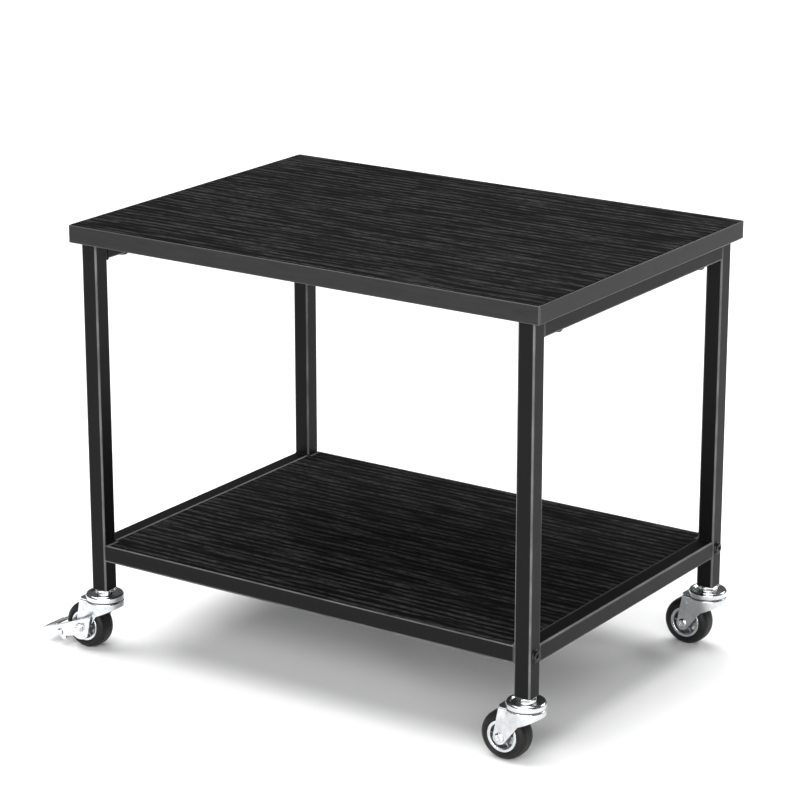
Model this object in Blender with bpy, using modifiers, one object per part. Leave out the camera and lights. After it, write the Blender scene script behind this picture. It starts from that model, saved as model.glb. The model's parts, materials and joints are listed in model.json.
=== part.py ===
"""Two-tier rolling printer stand: boards, welded side frames, angle rails and swivel casters.

Metres, +Z up.  +X runs along the stand's length, -Y is its front, and the floor is at z = 0.
The casters trail towards -X, so the origin lies under the middle of the whole outline:
STAND_X moves the frame by that amount.  Each sub-part is one object and one closed solid.
"""
import math

import bmesh
import bpy
from mathutils import Vector

# ---------------------------------------------------------------- driving dimensions
GAP = 0.0003                 # kept between pieces that touch

BOARD_LENGTH = 0.420
BOARD_DEPTH = 0.300
BOARD_THICK = 0.014
STAND_HEIGHT = 0.348

TUBE = 0.014                 # square tube of the legs and side rails
TUBE_WALL = 0.0012
TUBE_CORNER = 0.0015
FRAME_LENGTH = 0.406         # across the outer faces of the legs
FRAME_DEPTH = 0.288
SHELF_TOP = 0.091            # lower shelf and its rails end level at this height
ANGLE_WALL = 0.0015          # front and back rails are rolled angles
END_PLATE = 0.003            # drilled plates closing the ends of those rails

FOOT_Z = 0.052               # lower end of the legs
WHEEL_RADIUS = 0.019
TYRE_WIDTH = 0.017
CORE_RADIUS = 0.0126         # where the tyre is fitted
TRAIL = 0.016                # axle behind the stem
CAP_RADIUS = 0.0152
FORK_TOP = 0.043
FORK_WALL = 0.0013
ARM_Y = 0.0113               # outer face of a fork arm
ARM_END = 0.0053             # round end of a fork arm, about the axle
TAB_X = 0.019                # plate edge over the wheel
FORK_BACK = 0.017            # rear top corner of an arm
AXLE_RADIUS = 0.0023
STEM_RADIUS = 0.0039

BOLT_HEAD = 0.00525          # button heads on the legs
BOLT_SHANK = 0.0030
SCREW_HEAD = 0.0050          # pan heads under the top rails
SCREW_SHANK = 0.0021
SCREW_INSET = 0.040          # from a leg's outer face

PEDAL_TILT = math.radians(22)
PEDAL_TIP = 0.056            # reach behind the stem
PIVOT_X, PIVOT_Z = -0.0362, 0.0113
PIN_RADIUS = 0.0015
PLATE_IN, PLATE_OUT = 0.0126, 0.0138
PEDAL_TOP_X, PEDAL_TOP_Z = -0.006, 0.0304    # a point on the sloping top line of the brake

# ---------------------------------------------------------------- sizes that follow
RAIL_LEN = FRAME_DEPTH - 2 * TUBE - 2 * GAP
LEG_TOP = STAND_HEIGHT - BOARD_THICK - GAP
RAIL_Z = SHELF_TOP - TUBE / 2
TOP_RAIL_Z = LEG_TOP - TUBE / 2
SHELF_THICK = TUBE - ANGLE_WALL - GAP
LEG_X = (FRAME_LENGTH - TUBE) / 2
LEG_Y = (FRAME_DEPTH - TUBE) / 2
STAND_X = (PEDAL_TIP - CAP_RADIUS) / 2
CORNERS = {
    "front_left": (-1, -1),
    "front_right": (1, -1),
    "back_left": (-1, 1),
    "back_right": (1, 1),
}
BRAKED = ("front_left", "back_left")

# ---------------------------------------------------------------- scene and helpers


def clear_scene():
    for obj in list(bpy.data.objects):
        bpy.data.objects.remove(obj, do_unlink=True)


def collection(name):
    made = bpy.data.collections.new(name)
    bpy.context.scene.collection.children.link(made)
    return made


def finish(name, colour, roughness, metallic):
    """A plain Principled material."""
    mat = bpy.data.materials.new(name)
    mat.use_nodes = True
    shader = mat.node_tree.nodes["Principled BSDF"]
    shader.inputs["Base Color"].default_value = (*colour, 1)
    shader.inputs["Roughness"].default_value = roughness
    shader.inputs["Metallic"].default_value = metallic
    return mat


def empty(name, place, parent=None):
    obj = bpy.data.objects.new(name, None)
    obj.empty_display_size = 0.01
    STAND.objects.link(obj)
    obj.location = place
    obj.parent = parent
    return obj


def add_part(name, mesh, mat, place=(0, 0, 0), parent=None, turn=(0, 0, 0)):
    obj = bpy.data.objects.new(name, mesh)
    STAND.objects.link(obj)
    obj.location = place
    obj.rotation_euler = turn
    obj.parent = parent
    if not mesh.materials:
        mesh.materials.append(mat)
    return obj


def helper(name, mesh, place, parent=None, turn=(0, 0, 0)):
    """A cutter or a shape to join: drawn as wire and left out of the model."""
    obj = bpy.data.objects.new(name, mesh)
    CUTTERS.objects.link(obj)
    obj.location = place
    obj.rotation_euler = turn
    obj.parent = parent
    obj.hide_render = True
    obj.display_type = "WIRE"
    return obj


def boolean(obj, other, operation="DIFFERENCE"):
    mod = obj.modifiers.new(other.name, "BOOLEAN")
    mod.operation = operation
    mod.solver = "EXACT"
    mod.object = other


def bevel(obj, width, segments=1, angle=40):
    mod = obj.modifiers.new("edges", "BEVEL")
    mod.width = width
    mod.segments = segments
    mod.limit_method = "ANGLE"
    mod.angle_limit = math.radians(angle)


def box_mesh(name, size):
    mesh = bpy.data.meshes.new(name)
    bm = bmesh.new()
    bmesh.ops.create_cube(bm, size=1)
    bmesh.ops.scale(bm, vec=Vector(size), verts=bm.verts)
    bm.to_mesh(mesh)
    bm.free()
    return mesh


def drum_mesh(name, radius, height, sides=12):
    """A cylinder or, with six sides, a hexagonal prism, along Z."""
    mesh = bpy.data.meshes.new(name)
    bm = bmesh.new()
    bmesh.ops.create_cone(
        bm, cap_ends=True, segments=sides, radius1=radius, radius2=radius, depth=height)
    bm.to_mesh(mesh)
    bm.free()
    return mesh


def rounded_square(size, corner, steps=2):
    """Outline of a square with round corners, counter-clockwise."""
    inner = size / 2 - corner
    points = []
    for quarter in range(4):
        middle = math.radians(45 + 90 * quarter)
        centre = (math.copysign(inner, math.cos(middle)), math.copysign(inner, math.sin(middle)))
        for k in range(steps + 1):
            angle = math.radians(90 * (quarter + k / steps))
            points.append((centre[0] + corner * math.cos(angle), centre[1] + corner * math.sin(angle)))
    return points


def plate_mesh(name, outlines, thickness):
    """A flat plate in XY, made from 2D outlines: the first is its edge, the others its holes."""
    curve = bpy.data.curves.new(name + "_outline", "CURVE")
    curve.dimensions = "2D"
    curve.fill_mode = "BOTH"
    curve.extrude = thickness / 2
    for points in outlines:
        spline = curve.splines.new("POLY")
        spline.points.add(len(points) - 1)
        for slot, (x, y) in zip(spline.points, points):
            slot.co = (x, y, 0, 1)
        spline.use_cyclic_u = True
    holder = bpy.data.objects.new(name + "_outline", curve)
    bpy.context.scene.collection.objects.link(holder)
    graph = bpy.context.evaluated_depsgraph_get()
    mesh = bpy.data.meshes.new_from_object(holder.evaluated_get(graph))
    bpy.data.objects.remove(holder, do_unlink=True)
    bm = bmesh.new()
    bm.from_mesh(mesh)
    bmesh.ops.remove_doubles(bm, verts=bm.verts, dist=1e-6)
    bmesh.ops.recalc_face_normals(bm, faces=bm.faces)
    bm.to_mesh(mesh)
    bm.free()
    mesh.name = name
    return mesh


def ring_points(radius, count, centre=(0, 0), start=0, sweep=360):
    """Points along a circle or an arc; a full circle leaves out the repeated last point."""
    last = count if sweep == 360 else count - 1
    angles = [math.radians(start + sweep * k / last) for k in range(count)]
    return [(centre[0] + radius * math.cos(a), centre[1] + radius * math.sin(a)) for a in angles]


def turned(name, profile, mat, place, parent=None, turn=(0, 0, 0), steps=24, closed=False):
    """A profile of (radius, height) points turned about Z; it runs down its outer side."""
    mesh = bpy.data.meshes.new(name)
    bm = bmesh.new()
    verts = [bm.verts.new((radius, 0, height)) for radius, height in profile]
    for first, second in zip(verts, verts[1:]):
        bm.edges.new((first, second))
    if closed:
        bm.edges.new((verts[-1], verts[0]))
    bm.to_mesh(mesh)
    bm.free()
    obj = add_part(name, mesh, mat, place, parent, turn)
    mod = obj.modifiers.new("turn", "SCREW")
    mod.steps = steps
    mod.render_steps = steps
    mod.use_merge_vertices = True
    mod.merge_threshold = 1e-6
    mod.use_smooth_shade = True
    return obj


# ---------------------------------------------------------------- boards


def top_board():
    place = (STAND_X, 0, STAND_HEIGHT - BOARD_THICK / 2)
    mesh = box_mesh("top_board", (BOARD_LENGTH, BOARD_DEPTH, BOARD_THICK))
    board = add_part("top_board", mesh, LAMINATE, place)
    bevel(board, 0.0008)
    depth = BOARD_THICK * 0.75
    for name, x, y in board_screw_places():
        hole = drum_mesh(name + "_hole", SCREW_SHANK + GAP, 2 * depth)
        boolean(board, helper(name + "_hole", hole, (x, y, STAND_HEIGHT - BOARD_THICK)))


def shelf_board():
    size = (FRAME_LENGTH - 2 * TUBE - 2 * GAP, FRAME_DEPTH - 2 * ANGLE_WALL - 2 * GAP, SHELF_THICK)
    middle = SHELF_TOP - SHELF_THICK / 2
    board = add_part("shelf_board", box_mesh("shelf_board", size), LAMINATE, (STAND_X, 0, middle))
    bevel(board, 0.0006)
    notch = (2 * (END_PLATE + GAP), 2 * (TUBE - ANGLE_WALL), 2 * SHELF_THICK)
    for corner, (sx, sy) in CORNERS.items():
        place = (STAND_X + sx * size[0] / 2, sy * size[1] / 2, middle)
        boolean(board, helper("notch_" + corner, box_mesh("notch_" + corner, notch), place))


# ---------------------------------------------------------------- welded side frames


def tube_mesh(name, length):
    outer = rounded_square(TUBE, TUBE_CORNER)
    inner = rounded_square(TUBE - 2 * TUBE_WALL, 0.0008, 1)
    return plate_mesh(name, [outer, inner], length)


def board_screw_places():
    """Name, x and y of the screws that hold the top board to its rails."""
    reach = FRAME_DEPTH / 2 - SCREW_INSET
    return [("board_screw_" + corner, STAND_X + sx * LEG_X, sy * reach)
            for corner, (sx, sy) in CORNERS.items()]


def legs():
    length = LEG_TOP - FOOT_Z
    for corner, (sx, sy) in CORNERS.items():
        x, y = STAND_X + sx * LEG_X, sy * LEG_Y
        mesh = tube_mesh("leg_" + corner, length)
        leg = add_part("leg_" + corner, mesh, ENAMEL, (x, y, FOOT_Z + length / 2))
        bore = drum_mesh("bolt_bore_" + corner, BOLT_SHANK + GAP, 2 * TUBE)
        boolean(leg, helper("bolt_bore_" + corner, bore, (x, y, RAIL_Z), turn=(0, math.pi / 2, 0)))


def side_rails():
    for side, sx in (("left", -1), ("right", 1)):
        x = STAND_X + sx * LEG_X
        for level, z in (("top", TOP_RAIL_Z), ("lower", RAIL_Z)):
            name = f"{level}_rail_{side}"
            mesh = tube_mesh(name, RAIL_LEN)
            rail = add_part(name, mesh, ENAMEL, (x, 0, z), turn=(math.pi / 2, 0, 0))
            if level == "lower":
                continue
            for screw, sx_place, y in board_screw_places():
                if abs(sx_place - x) < TUBE:
                    bore = drum_mesh(screw + "_bore", SCREW_SHANK + GAP, 2 * TUBE)
                    boolean(rail, helper(screw + "_bore", bore, (x, y, z)))


def angle_rails():
    """Front and back rails: an angle with a drilled end plate at each leg."""
    length = FRAME_LENGTH - 2 * TUBE - 2 * GAP
    for side, sy in (("front", -1), ("back", 1)):
        name = "angle_rail_" + side
        face = sy * (FRAME_DEPTH / 2 - ANGLE_WALL / 2)
        flange = box_mesh(name, (length, ANGLE_WALL, TUBE))
        rail = add_part(name, flange, ENAMEL, (STAND_X, face, RAIL_Z))
        ledge = box_mesh(name + "_ledge", (length, TUBE, ANGLE_WALL))
        ledge_place = (STAND_X, sy * LEG_Y, SHELF_TOP - TUBE + ANGLE_WALL / 2)
        boolean(rail, helper(name + "_ledge", ledge, ledge_place), "UNION")
        for end in (-1, 1):
            tag = f"{name}_{'right' if end > 0 else 'left'}"
            x = STAND_X + end * (length - END_PLATE) / 2
            tab = box_mesh(tag + "_tab", (END_PLATE, TUBE, TUBE - 2 * GAP))
            boolean(rail, helper(tag + "_tab", tab, (x, sy * LEG_Y, RAIL_Z)), "UNION")
            bore = drum_mesh(tag + "_bore", BOLT_SHANK + GAP, 3 * END_PLATE)
            place = (x, sy * LEG_Y, RAIL_Z)
            boolean(rail, helper(tag + "_bore", bore, place, turn=(0, math.pi / 2, 0)))


# ---------------------------------------------------------------- fasteners


def frame_bolts():
    """Button-head bolts through the legs into the angle rails' end plates."""
    head = [(0, 0.0019), (0.0030, 0.0019), (0.0046, 0.0011), (BOLT_HEAD, GAP), (BOLT_SHANK, GAP)]
    reach = TUBE + GAP + END_PLATE
    profile = head + [(BOLT_SHANK, -reach), (0, -reach)]
    for corner, (sx, sy) in CORNERS.items():
        place = (STAND_X + sx * FRAME_LENGTH / 2, sy * LEG_Y, RAIL_Z)
        turn = (0, sx * math.pi / 2, 0)
        turned("frame_bolt_" + corner, profile, BLACK_STEEL, place, turn=turn, steps=12)


def board_screws():
    """Pan-head screws driven up through the top rails into the board."""
    reach = TUBE + BOARD_THICK * 0.7
    shank = [(0, reach), (SCREW_SHANK, reach - SCREW_SHANK), (SCREW_SHANK, -GAP)]
    head = [(SCREW_HEAD, -GAP), (SCREW_HEAD * 0.9, -0.0014), (SCREW_HEAD * 0.5, -0.0021), (0, -0.0021)]
    for name, x, y in board_screw_places():
        turned(name, shank + head, BLACK_STEEL, (x, y, LEG_TOP - TUBE), steps=12)


def leg_inserts():
    """Threaded plugs in the feet of the legs, which take the caster stems."""
    height = 0.015
    for corner, (sx, sy) in CORNERS.items():
        name = "leg_insert_" + corner
        outer = rounded_square(TUBE - 2 * TUBE_WALL - 2 * GAP, 0.001, 1)
        mesh = plate_mesh(name, [outer, ring_points(STEM_RADIUS + GAP, 12)], height)
        add_part(name, mesh, ZINC, (STAND_X + sx * LEG_X, sy * LEG_Y, FOOT_Z + height / 2))


# ---------------------------------------------------------------- casters


def stem(corner, axis):
    """Threaded stem with its hexagonal collar and the rivet head under the fork."""
    thread = [(0, 0.0695), (0.0031, 0.0695), (STEM_RADIUS, 0.0685), (STEM_RADIUS, 0.0414)]
    profile = thread + [(0.0056, 0.0414), (0.0056, 0.0403), (0, 0.0403)]
    body = turned("stem_" + corner, profile, ZINC, (0, 0, 0), axis, steps=12)
    low, high = 0.0474, FOOT_Z - GAP
    collar = drum_mesh("collar_" + corner, 0.0074, high - low, sides=6)
    boolean(body, helper("collar_" + corner, collar, (0, 0, (low + high) / 2), axis), "UNION")


def swivel_cap(corner, axis):
    """Dished cap over the ball race, with a rolled rim."""
    bore = STEM_RADIUS + GAP
    skin = [(bore, 0.0471), (0.0110, 0.0471), (0.0124, 0.0483), (0.0140, 0.0485),
            (CAP_RADIUS, 0.0470), (CAP_RADIUS, 0.0438)]
    lining = [(0.0141, 0.0438), (0.0141, 0.0468), (0.0126, 0.0470), (0.0112, 0.0460), (bore, 0.0460)]
    turned("swivel_cap_" + corner, skin + lining, CHROME, (0, 0, 0), axis, steps=20, closed=True)


def ball_ring(corner, axis):
    """The ring of balls between the cap and the fork, as one ring."""
    profile = [(r, z) for r, z in reversed(ring_points(0.0011, 5, (0.0090, 0.0446)))]
    turned("ball_ring_" + corner, profile, CHROME, (0, 0, 0), axis, steps=16, closed=True)


def smooth(value):
    value = min(max(value, 0), 1)
    return value * value * (3 - 2 * value)


def fork_columns(arm_steps=9, skirt_steps=5):
    """Top and bottom points of the fork's wall, from the -Y arm's rear edge round to the front."""
    turn_x = -math.sqrt(CAP_RADIUS ** 2 - ARM_Y ** 2)
    straight = FORK_BACK + turn_x
    start = math.atan2(-ARM_Y, turn_x)
    arc = (-math.pi / 2 - start) * CAP_RADIUS
    end_sweep = math.radians(138)

    def arm_end(angle):
        """A point on the round end of the arm, about the axle."""
        return (-TRAIL + ARM_END * math.cos(angle), WHEEL_RADIUS + ARM_END * math.sin(angle))

    rise_from, rise_to = arm_end(math.pi + end_sweep), (0.0, 0.0310)
    columns = []
    for k in range(arm_steps):
        along = k / arm_steps
        run = along * (straight + arc)
        if run <= straight:
            top = (-FORK_BACK + run, -ARM_Y)
        else:
            angle = start + (run - straight) / CAP_RADIUS
            top = (CAP_RADIUS * math.cos(angle), CAP_RADIUS * math.sin(angle))
        if along <= 0.6:
            low = arm_end(math.pi + end_sweep * along / 0.6)
        else:
            share = (along - 0.6) / 0.4
            low = tuple(a + (b - a) * share for a, b in zip(rise_from, rise_to))
        columns.append((top, low))
    for k in range(skirt_steps + 1):
        angle = math.pi / 2 * (k / skirt_steps - 1)
        top = (CAP_RADIUS * math.cos(angle), CAP_RADIUS * math.sin(angle))
        share = k / skirt_steps
        low_z = rise_to[1] + (0.0385 - rise_to[1]) * math.sin(share * math.pi / 2)
        columns.append((top, (top[0], low_z)))
    return columns


def fork_mesh(name, rows=4, shoulder=0.0012):
    """Open skin of the fork: plate with its stem hole and tab, front skirt and the two arms."""
    bm = bmesh.new()
    half = fork_columns()
    both = [(top, low, 1) for top, low in half] + [(top, low, -1) for top, low in reversed(half[:-1])]
    bore = STEM_RADIUS + GAP
    hole, rim, walls = [], [], []
    for top, low, mirror in both:
        angle = math.atan2(top[1] * mirror, top[0])
        inset = 1 - shoulder / math.hypot(*top)
        rim.append(bm.verts.new((top[0] * inset, top[1] * mirror * inset, FORK_TOP)))
        hole.append(bm.verts.new((bore * math.cos(angle), bore * math.sin(angle), FORK_TOP)))
        column = []
        for row in range(rows + 1):
            share = row / rows
            x = top[0] + (low[0] - top[0]) * share
            z = FORK_TOP - shoulder + (low[1] - FORK_TOP + shoulder) * share
            y = top[1]
            if y < -ARM_Y:
                y += (-ARM_Y - y) * smooth((FORK_TOP - z) / 0.018)
            column.append(bm.verts.new((x, y * mirror, z)))
        walls.append(column)
    for a in range(len(both) - 1):
        bm.faces.new((hole[a], rim[a], rim[a + 1], hole[a + 1]))
        bm.faces.new((rim[a], walls[a][0], walls[a + 1][0], rim[a + 1]))
        for row in range(rows):
            bm.faces.new((walls[a][row], walls[a][row + 1], walls[a + 1][row + 1], walls[a + 1][row]))
    tab = [bm.verts.new((-TAB_X, y, FORK_TOP)) for y in (0.0085, 0, -0.0085)]
    tab_turn = math.radians(21.6)
    tab_hole = [bm.verts.new((-bore * math.cos(a), bore * math.sin(a), FORK_TOP))
                for a in (tab_turn, 0, -tab_turn)]
    outer = [rim[-1]] + tab + [rim[0]]
    inner = [hole[-1]] + tab_hole + [hole[0]]
    for a in range(len(outer) - 1):
        bm.faces.new((inner[a], outer[a], outer[a + 1], inner[a + 1]))
    bmesh.ops.recalc_face_normals(bm, faces=bm.faces)
    if next(f for f in bm.faces if hole[0] in f.verts).normal.z < 0:
        bmesh.ops.reverse_faces(bm, faces=bm.faces)
    mesh = bpy.data.meshes.new(name)
    bm.to_mesh(mesh)
    bm.free()
    return mesh


def fork(corner, swivel):
    body = add_part("fork_" + corner, fork_mesh("fork_" + corner), ZINC, (0, 0, 0), swivel)
    wall = body.modifiers.new("sheet", "SOLIDIFY")
    wall.thickness = FORK_WALL
    wall.offset = -1
    wall.use_even_offset = True
    bore = drum_mesh("axle_bore_" + corner, AXLE_RADIUS + GAP, 4 * ARM_Y)
    place = (-TRAIL, 0, WHEEL_RADIUS)
    boolean(body, helper("axle_bore_" + corner, bore, place, swivel, (math.pi / 2, 0, 0)))


def axle(corner, swivel, braked, outward):
    """Rivet through the arms; on a braked caster a longer bolt that also clamps the brake plates."""
    seat = PLATE_OUT + GAP if braked else ARM_Y + GAP
    nut = 0.0042 if braked else 0.0012
    wide, narrow = 0.0038, 0.0026
    outer = [(0, seat + nut), (narrow, seat + nut), (wide, seat + nut - 0.0006), (wide, seat)]
    inner = [(wide, -seat), (wide, -seat - 0.0008), (narrow, -seat - 0.0012), (0, -seat - 0.0012)]
    profile = outer + [(AXLE_RADIUS, seat), (AXLE_RADIUS, -seat)] + inner
    turn = (-outward * math.pi / 2, 0, 0)
    turned("axle_" + corner, profile, ZINC, (-TRAIL, 0, WHEEL_RADIUS), swivel, turn, steps=12)


def wheel(corner, spin):
    """Pressed wheel core with its hub, and the rubber tyre round it."""
    hub, rim_edge, web = 0.0095, 0.0080, 0.0015
    across = (math.pi / 2, 0, 0)
    side = [(AXLE_RADIUS + GAP, hub), (0.0048, hub), (0.0054, web), (0.0100, web),
            (0.0103, rim_edge), (CORE_RADIUS, rim_edge)]
    core = side + [(r, -h) for r, h in reversed(side)]
    turned("wheel_core_" + corner, core, ZINC, (0, 0, 0), spin, across, steps=20, closed=True)
    seat = CORE_RADIUS + GAP
    half = TYRE_WIDTH / 2
    shoulder = [(0.0180, half - 0.0018), (WHEEL_RADIUS, half - 0.0050)]
    flank = [(seat, half - 0.0006), (0.0152, half)] + shoulder
    tyre = flank + [(r, -h) for r, h in reversed(flank)]
    turned("tyre_" + corner, tyre, RUBBER, (0, 0, 0), spin, across, steps=28, closed=True)


# ---------------------------------------------------------------- wheel brakes


def brake_line(x):
    """Height of the brake's sloping top line at x behind the stem."""
    return PEDAL_TOP_Z + (x - PEDAL_TOP_X) * math.tan(PEDAL_TILT)


def brake_plate(name, swivel, side):
    """Cheek beside the wheel, clamped by the axle: a folded top edge and an ear for the pedal pin."""
    top = [(-0.0046, brake_line(-0.0046)), (-0.0400, brake_line(-0.0400))]
    ear = ring_points(0.0038, 5, (PIVOT_X, PIVOT_Z), 180, 90)
    bottom = ring_points(0.0098, 7, (-TRAIL, WHEEL_RADIUS), 235, 90)
    axle_hole = ring_points(AXLE_RADIUS + GAP, 12, (-TRAIL, WHEEL_RADIUS))
    pin_hole = ring_points(PIN_RADIUS + GAP, 10, (PIVOT_X, PIVOT_Z))
    mesh = plate_mesh(name, [top + ear + bottom, axle_hole, pin_hole], PLATE_OUT - PLATE_IN)
    middle = side * (PLATE_IN + PLATE_OUT) / 2
    cheek = add_part(name, mesh, ZINC, (0, middle, 0), swivel, (math.pi / 2, 0, 0))
    run = math.hypot(top[0][0] - top[1][0], top[0][1] - top[1][1])
    flange = box_mesh(name + "_fold", (run, 0.0040, 0.0012))
    x = (top[0][0] + top[1][0]) / 2
    place = (x, side * (PLATE_IN + 0.0020), brake_line(x) - 0.0004)
    boolean(cheek, helper(name + "_fold", flange, place, swivel, (0, -PEDAL_TILT, 0)), "UNION")


def pedal(corner, lever):
    """Foot pedal: a tread plate, two ears on the pin and the toe that bears on the tyre."""
    name = "brake_pedal_" + corner
    front, back = -0.0405, -PEDAL_TIP
    run = (front - back) / math.cos(PEDAL_TILT)
    middle = (front + back) / 2
    place = (middle - PIVOT_X, 0, brake_line(middle) - PIVOT_Z)
    tread = add_part(name, box_mesh(name, (run, 0.026, 0.0014)), ZINC, place, lever, (0, -PEDAL_TILT, 0))
    bevel(tread, 0.0003)
    ear_in, ear_out = 0.0108, 0.0121
    foot = [(-0.0478, brake_line(-0.0478)), (-0.0412, brake_line(-0.0412))]
    outline = [(x - PIVOT_X, z - PIVOT_Z) for x, z in reversed(foot)]
    outline += ring_points(0.0024, 4, (-0.0340 - PIVOT_X, 0.0070 - PIVOT_Z), -110, 100)
    outline += ring_points(0.0036, 4, (0, 0), 0, 70)
    for side in (-1, 1):
        tag = f"{name}_ear_{'back' if side > 0 else 'front'}"
        ear = plate_mesh(tag, [outline, ring_points(PIN_RADIUS + GAP, 10)], ear_out - ear_in)
        shape = helper(tag, ear, (0, side * (ear_in + ear_out) / 2, 0), lever, (math.pi / 2, 0, 0))
        boolean(tread, shape, "UNION")
    toe = drum_mesh(name + "_toe", 0.0010, ear_in + ear_out, sides=10)
    toe_place = (-0.0336 - PIVOT_X, 0, 0.0066 - PIVOT_Z)
    boolean(tread, helper(name + "_toe", toe, toe_place, lever, (math.pi / 2, 0, 0)), "UNION")


def brake_pin(corner, swivel):
    reach, head = PLATE_OUT + GAP, 0.0009
    profile = [(0, reach + head), (0.0018, reach + head), (0.0026, reach + head / 2), (0.0026, reach),
               (PIN_RADIUS, reach)]
    profile += [(r, -h) for r, h in reversed(profile)]
    place = (PIVOT_X, 0, PIVOT_Z)
    turned("brake_pin_" + corner, profile, ZINC, place, swivel, (math.pi / 2, 0, 0), steps=12)


def caster(corner, sx, sy):
    axis = empty("caster_" + corner, (STAND_X + sx * LEG_X, sy * LEG_Y, 0))
    stem(corner, axis)
    swivel_cap(corner, axis)
    ball_ring(corner, axis)
    swivel = empty("swivel_" + corner, (0, 0, 0), axis)
    fork(corner, swivel)
    axle(corner, swivel, corner in BRAKED, sy)
    wheel(corner, empty("spin_" + corner, (-TRAIL, 0, WHEEL_RADIUS), swivel))
    if corner in BRAKED:
        brake_plate("brake_plate_outer_" + corner, swivel, sy)
        brake_plate("brake_plate_inner_" + corner, swivel, -sy)
        brake_pin(corner, swivel)
        pedal(corner, empty("lever_" + corner, (PIVOT_X, 0, PIVOT_Z), swivel))


# ---------------------------------------------------------------- build

clear_scene()
STAND = collection("printer_stand")
CUTTERS = collection("cutters")
LAMINATE = finish("black_wood_laminate", (0.013, 0.013, 0.013), 0.45, 0.0)
ENAMEL = finish("black_powder_coat", (0.022, 0.022, 0.022), 0.42, 0.0)
BLACK_STEEL = finish("black_oxide_steel", (0.03, 0.03, 0.03), 0.35, 0.9)
ZINC = finish("zinc_plated_steel", (0.72, 0.73, 0.74), 0.22, 1.0)
CHROME = finish("chrome_plated_steel", (0.80, 0.81, 0.82), 0.10, 1.0)
RUBBER = finish("black_rubber", (0.02, 0.02, 0.02), 0.6, 0.0)

top_board()
shelf_board()
legs()
side_rails()
angle_rails()
frame_bolts()
board_screws()
leg_inserts()
for corner_name, (right, back) in CORNERS.items():
    caster(corner_name, right, back)
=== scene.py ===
# %% [markdown]
# # A rolling printer stand
#
# Two black wood-look boards sit on a welded frame of square steel tube, and the frame rolls on
# four swivel casters, two of which have a foot brake.  The moving parts and the sizes are already
# fixed by a imported CAD model.  This lesson gives each of its parts the shape and the finish that
# the eye expects: rounded edges, embossed grain, orange-peel paint, bright plating and rubber.
#
# The first step loads that model.  Every piece made later takes its place from it.

# %% Load the frame
import json
import math

import bmesh
import bpy
from mathutils import Matrix, Vector

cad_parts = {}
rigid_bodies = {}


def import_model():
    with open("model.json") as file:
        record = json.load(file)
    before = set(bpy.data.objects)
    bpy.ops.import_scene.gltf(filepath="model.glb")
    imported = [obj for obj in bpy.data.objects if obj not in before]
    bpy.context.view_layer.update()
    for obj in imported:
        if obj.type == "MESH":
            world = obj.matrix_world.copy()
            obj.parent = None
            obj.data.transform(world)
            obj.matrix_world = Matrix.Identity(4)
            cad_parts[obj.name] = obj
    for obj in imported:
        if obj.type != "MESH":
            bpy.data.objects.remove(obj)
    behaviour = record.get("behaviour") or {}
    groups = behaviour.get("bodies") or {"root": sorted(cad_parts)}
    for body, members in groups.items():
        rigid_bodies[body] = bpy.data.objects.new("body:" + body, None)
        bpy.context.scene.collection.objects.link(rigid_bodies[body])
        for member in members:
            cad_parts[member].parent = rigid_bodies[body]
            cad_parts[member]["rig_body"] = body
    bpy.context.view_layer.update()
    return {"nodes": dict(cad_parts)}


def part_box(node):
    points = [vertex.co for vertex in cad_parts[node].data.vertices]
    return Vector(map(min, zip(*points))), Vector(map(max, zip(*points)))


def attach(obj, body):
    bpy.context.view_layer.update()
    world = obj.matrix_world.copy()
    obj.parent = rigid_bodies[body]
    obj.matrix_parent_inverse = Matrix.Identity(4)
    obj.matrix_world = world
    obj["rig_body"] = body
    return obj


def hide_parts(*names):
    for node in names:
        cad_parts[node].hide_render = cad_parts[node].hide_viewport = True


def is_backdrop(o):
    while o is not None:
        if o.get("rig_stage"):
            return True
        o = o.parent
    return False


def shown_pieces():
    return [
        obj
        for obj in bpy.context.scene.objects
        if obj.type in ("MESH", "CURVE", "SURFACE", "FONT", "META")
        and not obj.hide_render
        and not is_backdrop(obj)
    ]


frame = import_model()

# %% [markdown]
# ## Shared sizes
#
# The legs tell where the casters are, because each caster's stem stands in the middle of a leg.
# The caster's own sizes, such as its wheel and how far it trails behind the stem, repeat the CAD
# model's, in metres.  Keeping them together here means that a size is changed in one place.

# %% Corners and caster sizes
corners = {"front_left": (-1, -1), "front_right": (1, -1), "back_left": (-1, 1), "back_right": (1, 1)}
braked_corners = ("front_left", "back_left")
stem_axis = {}
for corner in corners:
    low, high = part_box("leg_" + corner)
    stem_axis[corner] = Vector(((low.x + high.x) / 2, (low.y + high.y) / 2, 0))

GAP = 0.0003                 # clearance between pieces that touch
TUBE = 0.014
TUBE_CORNER = 0.0015         # outer corner radius of the square tube
FOOT_Z = 0.052               # lower end of the legs
WHEEL_RADIUS, TYRE_WIDTH, CORE_RADIUS = 0.019, 0.017, 0.0126
TRAIL = 0.016                # axle behind the stem
CAP_RADIUS, STEM_RADIUS, AXLE_RADIUS = 0.0152, 0.0039, 0.0023
FORK_TOP, FORK_WALL, FORK_BACK, TAB_X = 0.043, 0.0013, 0.017, 0.019
ARM_Y, ARM_END = 0.0113, 0.0053
PLATE_IN, PLATE_OUT = 0.0126, 0.0138
PEDAL_TILT, PEDAL_TIP = math.radians(22), 0.056
PIVOT_X, PIVOT_Z, PIN_RADIUS = -0.0362, 0.0113, 0.0015
stand_x = sum(place.x for place in stem_axis.values()) / 4
print("stem axes", {corner: tuple(round(v, 4) for v in place) for corner, place in stem_axis.items()})

# %% [markdown]
# ## Studio
#
# The stand is shown on a plain pale floor.  A wide, soft sun from the left keeps the far floor as
# bright as the near floor and throws a faint shadow under the shelf.  The sky stays dim, so that
# the glossy black board has something dark to mirror, and three soft boxes draw the thin bright
# lines along the tube edges.

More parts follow.
